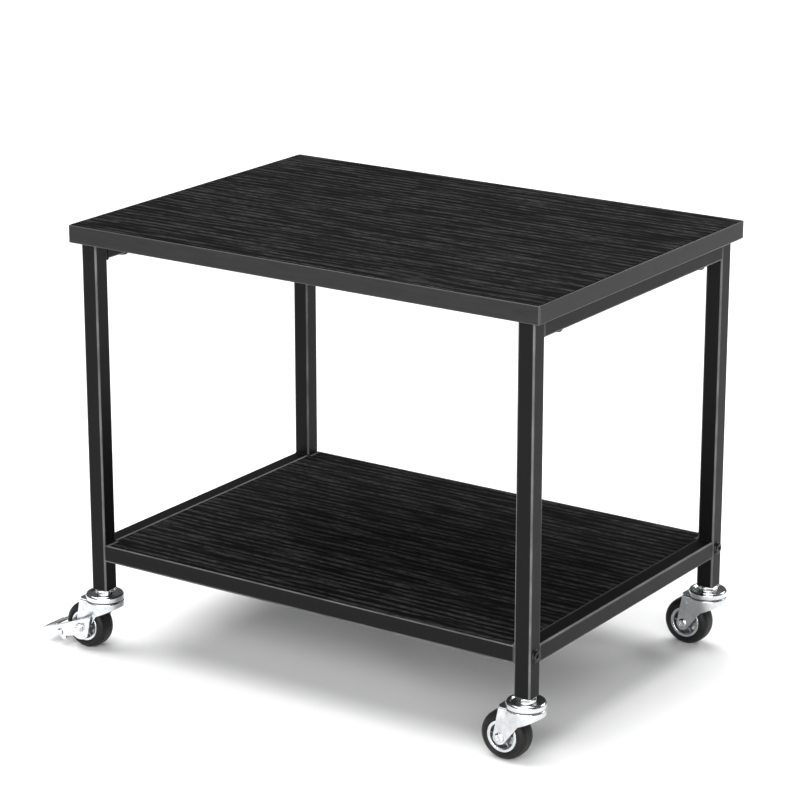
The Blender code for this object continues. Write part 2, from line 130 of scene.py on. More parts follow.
# %% Colours from hex, and one helper that adds a node
def linear(hex_colour):
    """An sRGB colour such as "#1e1e1e" as linear RGBA."""
    channels = [int(hex_colour[i:i + 2], 16) / 255 for i in (1, 3, 5)]
    return (*[c / 12.92 if c <= 0.04045 else ((c + 0.055) / 1.055) ** 2.4 for c in channels], 1.0)


def add_node(tree, kind, inputs=None, **settings):
    """Adds a node.  Each input, by name or number, takes a value or another node's output."""
    node = tree.nodes.new(kind)
    for name, value in settings.items():
        setattr(node, name, value)
    for socket, value in (inputs or {}).items():
        if isinstance(value, bpy.types.NodeSocket):
            tree.links.new(value, node.inputs[socket])
        else:
            node.inputs[socket].default_value = value
    return node


print("mid grey", [round(c, 3) for c in linear("#808080")])

# %% Sky and lights
world = bpy.data.worlds.new("dim_studio_air")
bpy.context.scene.world = world
world.use_nodes = True
world.node_tree.nodes["Background"].inputs["Color"].default_value = linear("#eef1f4")
world.node_tree.nodes["Background"].inputs["Strength"].default_value = 0.12
bpy.context.scene.view_settings.view_transform = "Standard"     # pale paper stays white, black stays black
light_aim = Vector((stand_x, 0, 0.16))


def add_light(name, kind, towards, distance, energy, **settings):
    """A light that stands in the direction `towards` from the stand and points at it."""
    lamp = bpy.data.lights.new(name, kind)
    lamp.energy = energy
    for key, value in settings.items():
        setattr(lamp, key, value)
    holder = bpy.data.objects.new(name, lamp)
    bpy.context.scene.collection.objects.link(holder)
    direction = Vector(towards).normalized()
    holder.location = light_aim + direction * distance
    holder.rotation_mode = "QUATERNION"
    holder.rotation_quaternion = (-direction).to_track_quat("-Z", "Y")
    return holder


add_light("soft_sun", "SUN", (-0.24, 0.02, 0.97), 4, 4.0, angle=math.radians(58))
add_light("back_box", "AREA", (0.30, 0.79, 0.54), 2.6, 22, shape="RECTANGLE", size=1.6, size_y=0.8)
add_light("edge_strip", "AREA", (0.83, -0.56, 0.05), 2.5, 16, shape="RECTANGLE", size=0.30, size_y=1.2)
add_light("front_fill", "AREA", (0.30, -0.86, 0.40), 2.8, 95, shape="RECTANGLE", size=3.2, size_y=1.6)

# %% Camera at the three-quarter front view
camera = bpy.data.objects.new("camera", bpy.data.cameras.new("camera"))
bpy.context.scene.collection.objects.link(camera)
bpy.context.scene.camera = camera
camera.data.lens, camera.data.sensor_width = 135, 36
yaw, pitch = math.radians(34.03), math.radians(17.14)
looking = Vector((-math.sin(yaw) * math.cos(pitch), math.cos(yaw) * math.cos(pitch), -math.sin(pitch)))
aim, distance = Vector((stand_x - 0.014, 0.011, 0.201)), 2.35
camera.location = aim - looking * distance
camera.rotation_mode = "QUATERNION"
camera.rotation_quaternion = looking.to_track_quat("-Z", "Y")
camera.data.clip_start, camera.data.clip_end = 0.05, 60
print("camera", tuple(round(v, 3) for v in camera.location))

# %% [markdown]
# ## Finishes
#
# Every finish is a node material that reads Object coordinates in metres, so its pattern has a
# real size and stays on the piece when the piece moves.  Several finishes also read an edge
# attribute, which the meshes carry: it is 1 on a rounded edge and 0 on a flat.  On the paint and
# the edge strips it paints a paler line along each edge, a painted highlight; on plating it makes
# the edges look rubbed where hands and boxes touch them.

# %% A helper that starts a finish
def start_finish(name, colour, roughness, metallic=0.0, **sockets):
    """A Principled material: returns it with its tree, its shader and its Object coordinates."""
    material = bpy.data.materials.new(name)
    material.use_nodes = True
    tree = material.node_tree
    shader = tree.nodes["Principled BSDF"]
    shader.inputs["Base Color"].default_value = linear(colour)
    shader.inputs["Roughness"].default_value = roughness
    shader.inputs["Metallic"].default_value = metallic
    for socket, value in sockets.items():
        shader.inputs[socket.replace("_", " ")].default_value = value
    return material, tree, shader, add_node(tree, "ShaderNodeTexCoord").outputs["Object"]


MM = 0.001

# %% [markdown]
# ### Embossed black wood laminate
#
# The boards are particle board under a melamine paper that a steel plate has pressed with wood
# grain.  The eye sees long, slightly wavy streaks that run the length of the board: narrow ridges
# that catch light between broad dark valleys, and fine pores inside them.  The ridges' paler colour
# is partly the grain's own tone and partly a painted highlight of that light.  Stretching a noise
# along X gives streaks, and adding a slow second noise to its coordinates bends them.  A wave
# across the board adds the regular beat of the growth rings.

# %% Laminate for the faces of the boards
def wood_streaks(tree, place, along, length_mm, width_mm, sway_mm, seed):
    """Streaks that run along X (0) or Y (1), as a 0 to 1 value."""
    sway = add_node(tree, "ShaderNodeTexNoise", {"Vector": place, "Scale": 11.0, "Detail": 2.0})
    across = [0.0, 0.0, 0.0]
    across[1 - along] = 2 * sway_mm * MM
    bent = add_node(tree, "ShaderNodeVectorMath", {0: sway.outputs["Color"], 1: across, 2: place},
                    operation="MULTIPLY_ADD")
    per_metre = [1 / (width_mm * MM)] * 3
    per_metre[along] = 1 / (length_mm * MM)
    stretched = add_node(tree, "ShaderNodeMapping",
                         {"Vector": bent.outputs[0], "Scale": per_metre, "Location": (seed, seed, seed)})
    return add_node(tree, "ShaderNodeTexNoise",
                    {"Vector": stretched.outputs[0], "Scale": 1.0, "Detail": 3.0, "Roughness": 0.55})


laminate, tree, shader, place = start_finish("embossed_black_wood_laminate", "#131313", 0.5,
                                              Specular_IOR_Level=0.05)
ridges = wood_streaks(tree, place, 0, 48, 4.6, 5, 3.1)
pores = wood_streaks(tree, place, 0, 7, 1.1, 2, 8.4)
long_waves = add_node(tree, "ShaderNodeMapping", {"Vector": place, "Scale": (0.10, 1.0, 1.0)})
rings = add_node(tree, "ShaderNodeTexWave", {"Vector": long_waves.outputs[0], "Scale": 0.314 / (7.5 * MM),
                                             "Distortion": 5.0, "Detail": 3.0, "Detail Scale": 1.6},
                 bands_direction="Y")
grain = add_node(tree, "ShaderNodeMath", {0: rings.outputs["Fac"], 1: 0.26, 2: ridges.outputs["Fac"]},
                 operation="MULTIPLY_ADD")
ridge = add_node(tree, "ShaderNodeMapRange", {"Value": grain.outputs[0], "From Min": 0.52, "From Max": 0.86},
                 interpolation_type="SMOOTHSTEP")
pore = add_node(tree, "ShaderNodeMapRange", {"Value": pores.outputs["Fac"], "From Min": 0.34, "From Max": 0.60})
ridge_grain_and_highlight = add_node(tree, "ShaderNodeMath", {0: ridge.outputs[0], 1: pore.outputs[0]}, operation="MULTIPLY")
# Paler colour on the ridges: partly the grain's tone, partly a painted highlight of the light that the glossy ridges
# catch.
grain_tone_and_highlight = add_node(tree, "ShaderNodeMix", {0: ridge_grain_and_highlight.outputs[0], 6: linear("#060606"), 7: linear("#363637")},
               data_type="RGBA")
tree.links.new(grain_tone_and_highlight.outputs[2], shader.inputs["Base Color"])
sheen = add_node(tree, "ShaderNodeMapRange", {"Value": ridge_grain_and_highlight.outputs[0], "To Min": 0.66, "To Max": 0.50})
tree.links.new(sheen.outputs[0], shader.inputs["Roughness"])
relief = add_node(tree, "ShaderNodeMath", {0: pores.outputs["Fac"], 1: 0.35, 2: ridge.outputs[0]},
                  operation="MULTIPLY_ADD")
press = add_node(tree, "ShaderNodeBump", {"Height": relief.outputs[0], "Distance": 0.35 * MM, "Strength": 0.7})
tree.links.new(press.outputs[0], shader.inputs["Normal"])
print(laminate.name, len(tree.nodes), "nodes")

# %% [markdown]
# ### Edge band and backing
#
# The board's edges are closed with a 1.6 mm black plastic strip, extruded and lightly grained along
# its length.  It is smoother than the face, so it mirrors the pale floor and looks greyer, and the
# crest of its rounded rim is painted paler (#464646), a painted highlight line.  The underside has
# a plain backing paper, dull and flecked with fibres.

# %% Edge band for each direction, and backing paper
def edge_band_finish(name, along):
    band, tree, shader, place = start_finish(name, "#222222", 0.40, Specular_IOR_Level=0.14)
    streaks = wood_streaks(tree, place, along, 24, 1.6, 1, 5.7)
    tone = add_node(tree, "ShaderNodeMix", {0: streaks.outputs["Fac"], 6: linear("#1b1b1b"), 7: linear("#292929")},
                    data_type="RGBA")
    # The rim's crest is painted paler (#464646): a painted highlight line along the board's edge.
    edge_value = add_node(tree, "ShaderNodeAttribute", attribute_name="edge_wear_and_highlight")
    highlight_crest = add_node(tree, "ShaderNodeMath", {0: edge_value.outputs["Fac"], 1: 4.0}, operation="POWER")
    band_with_painted_highlight = add_node(tree, "ShaderNodeMix", {0: highlight_crest.outputs[0], 6: tone.outputs[2], 7: linear("#464646")},
                     data_type="RGBA")
    tree.links.new(band_with_painted_highlight.outputs[2], shader.inputs["Base Color"])
    satin = add_node(tree, "ShaderNodeMapRange", {"Value": edge_value.outputs["Fac"], "To Min": 0.42, "To Max": 0.24})
    tree.links.new(satin.outputs[0], shader.inputs["Roughness"])
    grain = add_node(tree, "ShaderNodeBump", {"Height": streaks.outputs["Fac"], "Distance": 0.06 * MM,
                                              "Strength": 0.5})
    tree.links.new(grain.outputs[0], shader.inputs["Normal"])
    return band


band_along_x = edge_band_finish("grained_abs_edge_band_long", 0)
band_along_y = edge_band_finish("grained_abs_edge_band_short", 1)

backing, tree, shader, place = start_finish("black_backing_paper", "#1a1a1a", 0.85)
fibres = add_node(tree, "ShaderNodeTexNoise", {"Vector": place, "Scale": 1 / (1.4 * MM), "Detail": 4.0,
                                               "Roughness": 0.7})
flecks = add_node(tree, "ShaderNodeMix", {0: fibres.outputs["Fac"], 6: linear("#0f0f0f"), 7: linear("#2b2b2a")},
                  data_type="RGBA")
tree.links.new(flecks.outputs[2], shader.inputs["Base Color"])
nap = add_node(tree, "ShaderNodeBump", {"Height": fibres.outputs["Fac"], "Distance": 0.05 * MM, "Strength": 0.5})
tree.links.new(nap.outputs[0], shader.inputs["Normal"])
print(band_along_x.name, band_along_y.name, backing.name)

# %% [markdown]
# ### Black powder coat
#
# The frame is sprayed with dry polyester powder and baked.  The film pulls back from sharp edges
# and dries with a faint orange-peel ripple.  The real ripple is under a millimetre across; it is
# drawn at 1.6 mm, as coarse as it needs to show.  On the edges the coat is smoother, and its
# colour is painted paler there: a painted highlight that stands for the thin line of light.

# %% Powder coat
powder_coat, tree, shader, place = start_finish("satin_black_powder_coat", "#101010", 0.4,
                                                  Specular_IOR_Level=0.10)
peel = add_node(tree, "ShaderNodeTexNoise", {"Vector": place, "Scale": 1 / (1.6 * MM), "Detail": 1.5})
cloud = add_node(tree, "ShaderNodeTexNoise", {"Vector": place, "Scale": 1 / (28 * MM), "Detail": 4.0})
# Paler coat colour (#646464) on the rounded edges: a painted highlight for the thin line of light along each edge.
coat_edges = add_node(tree, "ShaderNodeAttribute", attribute_name="edge_wear_and_highlight")
patchy = add_node(tree, "ShaderNodeMapRange", {"Value": cloud.outputs["Fac"], "From Min": 0.35, "From Max": 0.65})
highlight_crest = add_node(tree, "ShaderNodeMath", {0: coat_edges.outputs["Fac"], 1: 4.0}, operation="POWER")
uneven = add_node(tree, "ShaderNodeMapRange", {"Value": patchy.outputs[0], "To Min": 0.55, "To Max": 1.0})
painted_edge_highlight = add_node(tree, "ShaderNodeMath", {0: highlight_crest.outputs[0], 1: uneven.outputs[0]}, operation="MULTIPLY")
coat = add_node(tree, "ShaderNodeMix", {0: painted_edge_highlight.outputs[0], 6: linear("#0c0c0c"), 7: linear("#646464")},
                data_type="RGBA")
tree.links.new(coat.outputs[2], shader.inputs["Base Color"])
gloss = add_node(tree, "ShaderNodeMapRange", {"Value": cloud.outputs["Fac"], "To Min": 0.46, "To Max": 0.34})
edge_gloss = add_node(tree, "ShaderNodeMath", {0: highlight_crest.outputs[0], 1: -0.16, 2: gloss.outputs[0]},
                      operation="MULTIPLY_ADD")
tree.links.new(edge_gloss.outputs[0], shader.inputs["Roughness"])
ripple = add_node(tree, "ShaderNodeBump", {"Height": peel.outputs["Fac"], "Distance": 0.05 * MM, "Strength": 0.5})
tree.links.new(ripple.outputs[0], shader.inputs["Normal"])
print(powder_coat.name, len(tree.nodes), "nodes")

# %% [markdown]
# ### Metals
#
# The casters are pressed from sheet steel and zinc plated bright.  Zinc is not a mirror: its sheen
# clouds over a few millimetres, and rolling has left faint straight lines in the sheet.  The caps
# and balls are chromed, so they are smoother and show only light smears.  The wheel's disc is a
# duller zinc.  The frame's bolts are black oxide: dark, oily and slightly rubbed on the rims.
# All are metals, so they have metallic 1 and keep the default IOR.

# %% One recipe for the plated metals
def plated_finish(name, dark, bright, smooth_value, rough_value, cloud_mm, line_mm, line_depth_mm):
    """Clouded plating over sheet with fine rolling lines along X."""
    metal, tree, shader, place = start_finish(name, bright, smooth_value, 1.0)
    clouds = add_node(tree, "ShaderNodeTexNoise", {"Vector": place, "Scale": 1 / (cloud_mm * MM), "Detail": 4.0})
    per_metre = (1 / (18 * line_mm * MM), 1 / (line_mm * MM), 1 / (line_mm * MM))
    sheet = add_node(tree, "ShaderNodeMapping", {"Vector": place, "Scale": per_metre})
    lines = add_node(tree, "ShaderNodeTexNoise", {"Vector": sheet.outputs[0], "Scale": 1.0, "Detail": 2.0})
    edge_value = add_node(tree, "ShaderNodeAttribute", attribute_name="edge_wear_and_highlight")
    spread = add_node(tree, "ShaderNodeMapRange", {"Value": clouds.outputs["Fac"], "From Min": 0.3, "From Max": 0.7})
    lifted = add_node(tree, "ShaderNodeMath", {0: edge_value.outputs["Fac"], 1: 0.35, 2: spread.outputs[0]},
                      operation="MULTIPLY_ADD", use_clamp=True)
    tone = add_node(tree, "ShaderNodeMix", {0: lifted.outputs[0], 6: linear(dark), 7: linear(bright)},
                    data_type="RGBA")
    tree.links.new(tone.outputs[2], shader.inputs["Base Color"])
    sheen = add_node(tree, "ShaderNodeMapRange", {"Value": clouds.outputs["Fac"], "From Min": 0.3, "From Max": 0.7,
                                                  "To Min": rough_value, "To Max": smooth_value})
    tree.links.new(sheen.outputs[0], shader.inputs["Roughness"])
    marks = add_node(tree, "ShaderNodeBump", {"Height": lines.outputs["Fac"], "Distance": line_depth_mm * MM,
                                              "Strength": 0.6})
    tree.links.new(marks.outputs[0], shader.inputs["Normal"])
    return metal


bright_zinc = plated_finish("bright_zinc_plated_steel", "#c3c5c8", "#dadcdd", 0.20, 0.28, 5.0, 0.30, 0.006)
chrome = plated_finish("chrome_plated_steel", "#b4b6b8", "#dcddde", 0.13, 0.24, 9.0, 0.40, 0.002)
disc_zinc = plated_finish("dull_zinc_wheel_disc", "#85888b", "#b4b6b8", 0.27, 0.42, 3.0, 0.35, 0.008)
black_oxide = plated_finish("black_oxide_steel", "#111112", "#37373a", 0.28, 0.46, 2.5, 0.30, 0.006)
print([metal.name for metal in (bright_zinc, chrome, disc_zinc, black_oxide)])

# %% [markdown]
# ### Rubber
#
# The tyres are moulded rubber: nearly black, with a soft highlight and a fine grain from the
# mould.  Rolling leaves a slightly dusty, rougher band, so the roughness drifts from place to
# place.  The grain is drawn at 0.7 mm.

# %% Tyre rubber
rubber, tree, shader, place = start_finish("moulded_black_rubber", "#141414", 0.5, Specular_IOR_Level=0.22)
grit = add_node(tree, "ShaderNodeTexNoise", {"Vector": place, "Scale": 1 / (0.7 * MM), "Detail": 3.0,
                                             "Roughness": 0.6})
scuff = add_node(tree, "ShaderNodeTexNoise", {"Vector": place, "Scale": 1 / (7 * MM), "Detail": 4.0,
                                              "Distortion": 0.6})
dusty = add_node(tree, "ShaderNodeMix", {0: scuff.outputs["Fac"], 6: linear("#0a0a0a"), 7: linear("#1a1a19")},
                 data_type="RGBA")
tree.links.new(dusty.outputs[2], shader.inputs["Base Color"])
drag = add_node(tree, "ShaderNodeMapRange", {"Value": scuff.outputs["Fac"], "From Min": 0.3, "From Max": 0.7,
                                             "To Min": 0.38, "To Max": 0.58})
tree.links.new(drag.outputs[0], shader.inputs["Roughness"])
tooth = add_node(tree, "ShaderNodeBump", {"Height": grit.outputs["Fac"], "Distance": 0.03 * MM, "Strength": 0.5})
tree.links.new(tooth.outputs[0], shader.inputs["Normal"])
print(rubber.name)

# %% [markdown]
# ### Floor
#
# Studio paper: a pale matt sheet with the slightest mottling, so large that it meets the horizon.

# %% Floor sheet
paper, tree, shader, place = start_finish("pale_studio_paper", "#f0f0f0", 0.8)
mottle = add_node(tree, "ShaderNodeTexNoise", {"Vector": place, "Scale": 2.5, "Detail": 3.0})
shade = add_node(tree, "ShaderNodeMix", {0: mottle.outputs["Fac"], 6: linear("#ededed"), 7: linear("#f3f3f3")},
                 data_type="RGBA")
tree.links.new(shade.outputs[2], shader.inputs["Base Color"])
sheet = bmesh.new()
bmesh.ops.create_grid(sheet, x_segments=8, y_segments=8, size=20)
floor_mesh = bpy.data.meshes.new("studio_floor")
sheet.to_mesh(floor_mesh)
sheet.free()
floor_mesh.transform(Matrix.Translation((0, 0, -0.0002)))
floor_mesh.materials.append(paper)
floor = bpy.data.objects.new("studio_floor", floor_mesh)
bpy.context.scene.collection.objects.link(floor)
floor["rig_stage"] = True
print("floor", floor.name)

# %% [markdown]
# ## Tools for making the pieces
#
# A few small helpers do most of the shaping.  One rounds the corners of an outline.  One turns a
# profile about Z, like a lathe, and a radius may also be a function of the angle, so the same
# helper makes hexagons and sockets.  Others make bars, plates and rounded blocks.  The last one
# finishes a mesh: it merges doubles, turns the faces outwards, insets the flats of a rounded block
# where that is asked for, records an edge value for wear and painted highlights, and shades it smooth.

# %% Rounded outlines
def filleted(points, radius, steps=4, closed=True):
    """A 2D outline with its corners rounded; radius is one number or a list."""
    rounded = []
    for i, point in enumerate(points):
        r = radius[i] if hasattr(radius, "__len__") else radius
        corner = Vector(point)
        back, ahead = Vector(points[i - 1]) - corner, Vector(points[(i + 1) % len(points)]) - corner
        if r <= 0 or (not closed and i in (0, len(points) - 1)) or back.angle(ahead) > math.radians(176):
            rounded.append(tuple(corner))
            continue
        half = back.angle(ahead) / 2
        reach = min(r / math.tan(half), 0.48 * back.length, 0.48 * ahead.length)
        back, ahead = back.normalized(), ahead.normalized()
        centre = corner + (back + ahead).normalized() * (reach / math.cos(half))
        start, end = corner + back * reach - centre, corner + ahead * reach - centre
        sweep = start.angle(end)
        for k in range(steps + 1):
            share = k / steps
            turn = start * math.sin((1 - share) * sweep) + end * math.sin(share * sweep)
            rounded.append(tuple(centre + turn / math.sin(sweep)))
    return rounded


def arc(radius, start, end, count, centre=(0, 0)):
    """Points of an arc from start to end, in degrees."""
    angles = [math.radians(start + (end - start) * k / (count - 1)) for k in range(count)]
    return [(centre[0] + radius * math.cos(a), centre[1] + radius * math.sin(a)) for a in angles]


print("a rounded square has", len(filleted([(0, 0), (1, 0), (1, 1), (0, 1)], 0.1)), "points")

# %% Turning
def turned(shell, profile, steps=72, closed=False):
    """Adds a profile of (radius, height) turned about Z.  Either may be a function of the angle."""
    rings = []
    for radius, height in profile:
        ring = []
        for k in range(1 if radius == 0 else steps):
            angle = 2 * math.pi * k / steps
            r = radius(angle) if callable(radius) else radius
            h = height(angle) if callable(height) else height
            ring.append(shell.verts.new((r * math.cos(angle), r * math.sin(angle), h)))
        rings.append(ring)
    for a, b in zip(rings, rings[1:] + ([rings[0]] if closed else [])):
        for k in range(steps):
            n = (k + 1) % steps
            loop = [a[k % len(a)], a[n % len(a)], b[n % len(b)], b[k % len(b)]]
            loop = list(dict.fromkeys(loop))
            if len(loop) > 2:
                shell.faces.new(loop)


def hexagon(half_across_flats):
    """The radius of a hexagon at each angle."""
    return lambda a: half_across_flats / math.cos((a + math.pi / 6) % (math.pi / 3) - math.pi / 6)


def cross_recess(arm, half_width):
    """The radius of a cross-shaped driver recess at each angle."""
    def radius(a):
        lean = abs((a + math.pi / 4) % (math.pi / 2) - math.pi / 4)
        return min(arm / math.cos(lean), half_width / max(math.sin(lean), 1e-6))
    return radius


print("hexagon corner", round(hexagon(1.0)(math.pi / 6), 3))

# %% Bars and plates
def eased(outline, step):
    """Adds a point near both ends of each long straight run, so that the edge value on a bend, which paints a highlight
    on paint, stays narrow.
    """
    points = []
    for a, b in zip(outline, outline[1:] + outline[:1]):
        a, b = Vector(a[:2]), Vector(b[:2])
        share = step / (b - a).length
        points += [a] + ([a.lerp(b, share), a.lerp(b, 1 - share)] if share < 0.3 else [])
    return [tuple(point) for point in points]


def bar(shell, outline, start, end, hole=None, rim=0.0008):
    """Adds a bar along Z from an outline in XY, solid or with one hole of the same point count.
    An extra line near each end keeps the edge value on its rim narrow: a painted highlight on paint, wear on plating."""
    heights = (start, start + rim, end - rim, end)
    outer = [[shell.verts.new((x, y, height)) for x, y in outline] for height in heights]
    inner = [[shell.verts.new((x, y, height)) for x, y in hole] for height in heights] if hole else []
    strips = list(zip(outer, outer[1:])) + [(b, a) for a, b in zip(inner, inner[1:])]
    if hole:
        strips += [(inner[0], outer[0]), (outer[-1], inner[-1])]
    for a, b in strips:
        for k in range(len(outline)):
            n = (k + 1) % len(outline)
            shell.faces.new((a[k], a[n], b[n], b[k]))
    if not hole:
        shell.faces.new(outer[0][::-1])
        shell.faces.new(outer[-1])


def plate(outlines, thickness, edge=0.0003):
    """A flat plate with holes and rounded rims, as a bmesh: the first outline is its edge."""
    curve = bpy.data.curves.new("plate_outline", "CURVE")
    curve.dimensions, curve.fill_mode = "2D", "BOTH"
    curve.extrude, curve.bevel_depth, curve.bevel_resolution = thickness / 2 - edge, edge, 2
    curve.offset = -edge
    for points in outlines:
        spline = curve.splines.new("POLY")
        spline.points.add(len(points) - 1)
        for slot, (x, y) in zip(spline.points, points):
            slot.co = (x, y, 0, 1)
        spline.use_cyclic_u = True
    holder = bpy.data.objects.new("plate_outline", curve)
    bpy.context.scene.collection.objects.link(holder)
    mesh = bpy.data.meshes.new_from_object(holder.evaluated_get(bpy.context.evaluated_depsgraph_get()))
    bpy.data.objects.remove(holder)
    shell = bmesh.new()
    shell.from_mesh(mesh)
    bpy.data.meshes.remove(mesh)
    bmesh.ops.remove_doubles(shell, verts=shell.verts, dist=1e-6)
    return shell


def rounded_block(shell, low, high, radius, segments=3):
    """Adds a box with rounded edges between two corners."""
    middle, size = (Vector(low) + Vector(high)) / 2, Vector(high) - Vector(low)
    made = bmesh.ops.create_cube(shell, size=1)["verts"]
    bmesh.ops.scale(shell, vec=size, verts=made)
    bmesh.ops.translate(shell, vec=middle, verts=made)
    edges = list({edge for vert in made for edge in vert.link_edges})
    bmesh.ops.bevel(shell, geom=edges, offset=radius, segments=segments, profile=0.5, affect="EDGES")


print("bars, plates and blocks are ready")


def finished(name, shell, place=None, flats=0, sharp=38):
    """Turns a bmesh into a finished mesh at its place, with its edges marked for wear and painted highlights."""
    bmesh.ops.remove_doubles(shell, verts=shell.verts, dist=1e-7)
    bmesh.ops.recalc_face_normals(shell, faces=shell.faces)
    if flats:
        level = [f for f in shell.faces if max(abs(c) for c in f.normal) > 0.99999
                 and f.calc_area() > 20 * flats * flats]
        bmesh.ops.inset_region(shell, faces=level, thickness=flats, use_even_offset=True)
        shell.normal_update()
    # Edge value, 1 on a bend: on paint and edge strips it paints a highlight line, and on plating it stands for wear.
    wear_and_highlight = shell.verts.layers.float.new("edge_wear_and_highlight")
    for vert in shell.verts:
        bend = max((edge.calc_face_angle(0) for edge in vert.link_edges), default=0)
        vert[wear_and_highlight] = min(1.0, bend / math.radians(15))
    if place is not None:
        shell.transform(place)
    mesh = bpy.data.meshes.new(name)
    shell.to_mesh(mesh)
    shell.free()
    mesh.shade_smooth()
    mesh.set_sharp_from_angle(angle=math.radians(sharp))
    return mesh


def add_piece(name, mesh, finishes, nodes=(), body=None):
    """Adds a piece that stands for CAD nodes and rides on their body, or rides on the body named."""
    if not mesh.materials:
        for finish in finishes:
            mesh.materials.append(finish)
    piece = bpy.data.objects.new(name, mesh)
    bpy.context.scene.collection.objects.link(piece)
    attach(piece, body or frame["nodes"][nodes[0]]["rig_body"])
    if nodes:
        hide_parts(*nodes)
    return piece


def at_corner(mesh, corner):
    """A copy of a caster mesh, moved from the origin to the corner's stem axis."""
    copy = mesh.copy()
    copy.transform(Matrix.Translation(stem_axis[corner]))
    return copy


def triangles(*pieces):
    return sum(len(f.vertices) - 2 for piece in pieces for f in piece.data.polygons)


# %% [markdown]
# ## Geometry Nodes for what repeats
#
# Bolts, balls, ribs and the ripples of a weld are each one small shape that repeats by a rule.  A
# Geometry Nodes tree states that rule once, with named inputs for its sizes.  The tree is run on
# the small shape, ends in Realize Instances and Set Material, and its result becomes one plain
# mesh, so that nothing depends on a live modifier.

# %% Start a tree, and run it
def start_tree(name, sizes):
    """An empty tree with its named inputs; returns the tree and the outputs of its input node."""
    tree = bpy.data.node_groups.new(name, "GeometryNodeTree")
    for label, kind in {"Shape": "Geometry", **sizes, "Finish": "Material"}.items():
        tree.interface.new_socket(label, in_out="INPUT", socket_type="NodeSocket" + kind)
    tree.interface.new_socket("Shape", in_out="OUTPUT", socket_type="NodeSocketGeometry")
    return tree, add_node(tree, "NodeGroupInput").outputs


def end_tree(tree, given, instances):
    """Realizes the instances, sets their material and closes the tree."""
    real = add_node(tree, "GeometryNodeRealizeInstances", {0: instances})
    dressed = add_node(tree, "GeometryNodeSetMaterial", {"Geometry": real.outputs[0], "Material": given["Finish"]})
    add_node(tree, "NodeGroupOutput", {0: dressed.outputs[0]})


def run_tree(name, tree, shape, values, sharp=38):
    """Runs a tree on a mesh and returns the result as one plain mesh."""
    carrier = bpy.data.objects.new(name, shape)
    bpy.context.scene.collection.objects.link(carrier)
    modifier = carrier.modifiers.new(name, "NODES")
    modifier.node_group = tree
    for item in tree.interface.items_tree:
        if item.in_out == "INPUT" and item.name in values:
            modifier[item.identifier] = values[item.name]
    graph = bpy.context.evaluated_depsgraph_get()
    mesh = bpy.data.meshes.new_from_object(carrier.evaluated_get(graph))
    carrier.modifiers.remove(modifier)
    bpy.data.objects.remove(carrier)
    mesh.name = name
    mesh.shade_smooth()
    mesh.set_sharp_from_angle(angle=math.radians(sharp))
    return mesh


# %% A tree for four corners, turned a little at random
four_corners, given = start_tree("one_at_each_corner", {
    "Spacing X": "Float", "Spacing Y": "Float", "Centre": "Vector", "Lean outwards": "Float", "Turn seed": "Int"})
grid = add_node(four_corners, "GeometryNodeMeshGrid", {"Size X": given["Spacing X"], "Size Y": given["Spacing Y"],
                                                       "Vertices X": 2, "Vertices Y": 2})
where = add_node(four_corners, "ShaderNodeSeparateXYZ",
                 {0: add_node(four_corners, "GeometryNodeInputPosition").outputs[0]})
side = add_node(four_corners, "ShaderNodeMath", {0: where.outputs["X"]}, operation="SIGN")
lean = add_node(four_corners, "ShaderNodeMath", {0: side.outputs[0], 1: given["Lean outwards"]}, operation="MULTIPLY")
tip = add_node(four_corners, "ShaderNodeCombineXYZ", {"Y": lean.outputs[0]})
chance = add_node(four_corners, "FunctionNodeRandomValue", {2: 0.0, 3: math.tau, "Seed": given["Turn seed"]},
                  data_type="FLOAT")
spin = add_node(four_corners, "ShaderNodeCombineXYZ", {"Z": chance.outputs[1]})
placed = add_node(four_corners, "GeometryNodeInstanceOnPoints", {
    "Points": grid.outputs[0], "Instance": given["Shape"], "Rotation": tip.outputs[0]})
twisted = add_node(four_corners, "GeometryNodeRotateInstances", {
    "Instances": placed.outputs[0], "Rotation": spin.outputs[0]})
centred = add_node(four_corners, "GeometryNodeTransform", {0: twisted.outputs[0], "Translation": given["Centre"]})
end_tree(four_corners, given, centred.outputs[0])
print(four_corners.name, len(four_corners.nodes), "nodes")

# %% A tree for a ring of shapes about Z
ring_of_shapes, given = start_tree("ring_of_shapes", {"Count": "Int", "Radius": "Float", "Height": "Float"})
circle = add_node(ring_of_shapes, "GeometryNodeMeshCircle", {"Vertices": given["Count"], "Radius": given["Radius"]})
index = add_node(ring_of_shapes, "GeometryNodeInputIndex")
step = add_node(ring_of_shapes, "ShaderNodeMath", {0: math.tau, 1: given["Count"]}, operation="DIVIDE")
angle = add_node(ring_of_shapes, "ShaderNodeMath", {0: index.outputs[0], 1: step.outputs[0]}, operation="MULTIPLY")
facing = add_node(ring_of_shapes, "ShaderNodeCombineXYZ", {"Z": angle.outputs[0]})
spread = add_node(ring_of_shapes, "GeometryNodeInstanceOnPoints", {
    "Points": circle.outputs[0], "Instance": given["Shape"], "Rotation": facing.outputs[0]})
up = add_node(ring_of_shapes, "ShaderNodeCombineXYZ", {"Z": given["Height"]})
raised = add_node(ring_of_shapes, "GeometryNodeTransform", {0: spread.outputs[0], "Translation": up.outputs[0]})
end_tree(ring_of_shapes, given, raised.outputs[0])

# %% A tree for a row of shapes
row_of_shapes, given = start_tree("row_of_shapes", {"Count": "Int", "First": "Vector", "Step": "Vector"})
line = add_node(row_of_shapes, "GeometryNodeMeshLine", {"Count": given["Count"], "Start Location": given["First"],
                                                        "Offset": given["Step"]})
laid = add_node(row_of_shapes, "GeometryNodeInstanceOnPoints", {"Points": line.outputs[0],
                                                                "Instance": given["Shape"]})
end_tree(row_of_shapes, given, laid.outputs[0])

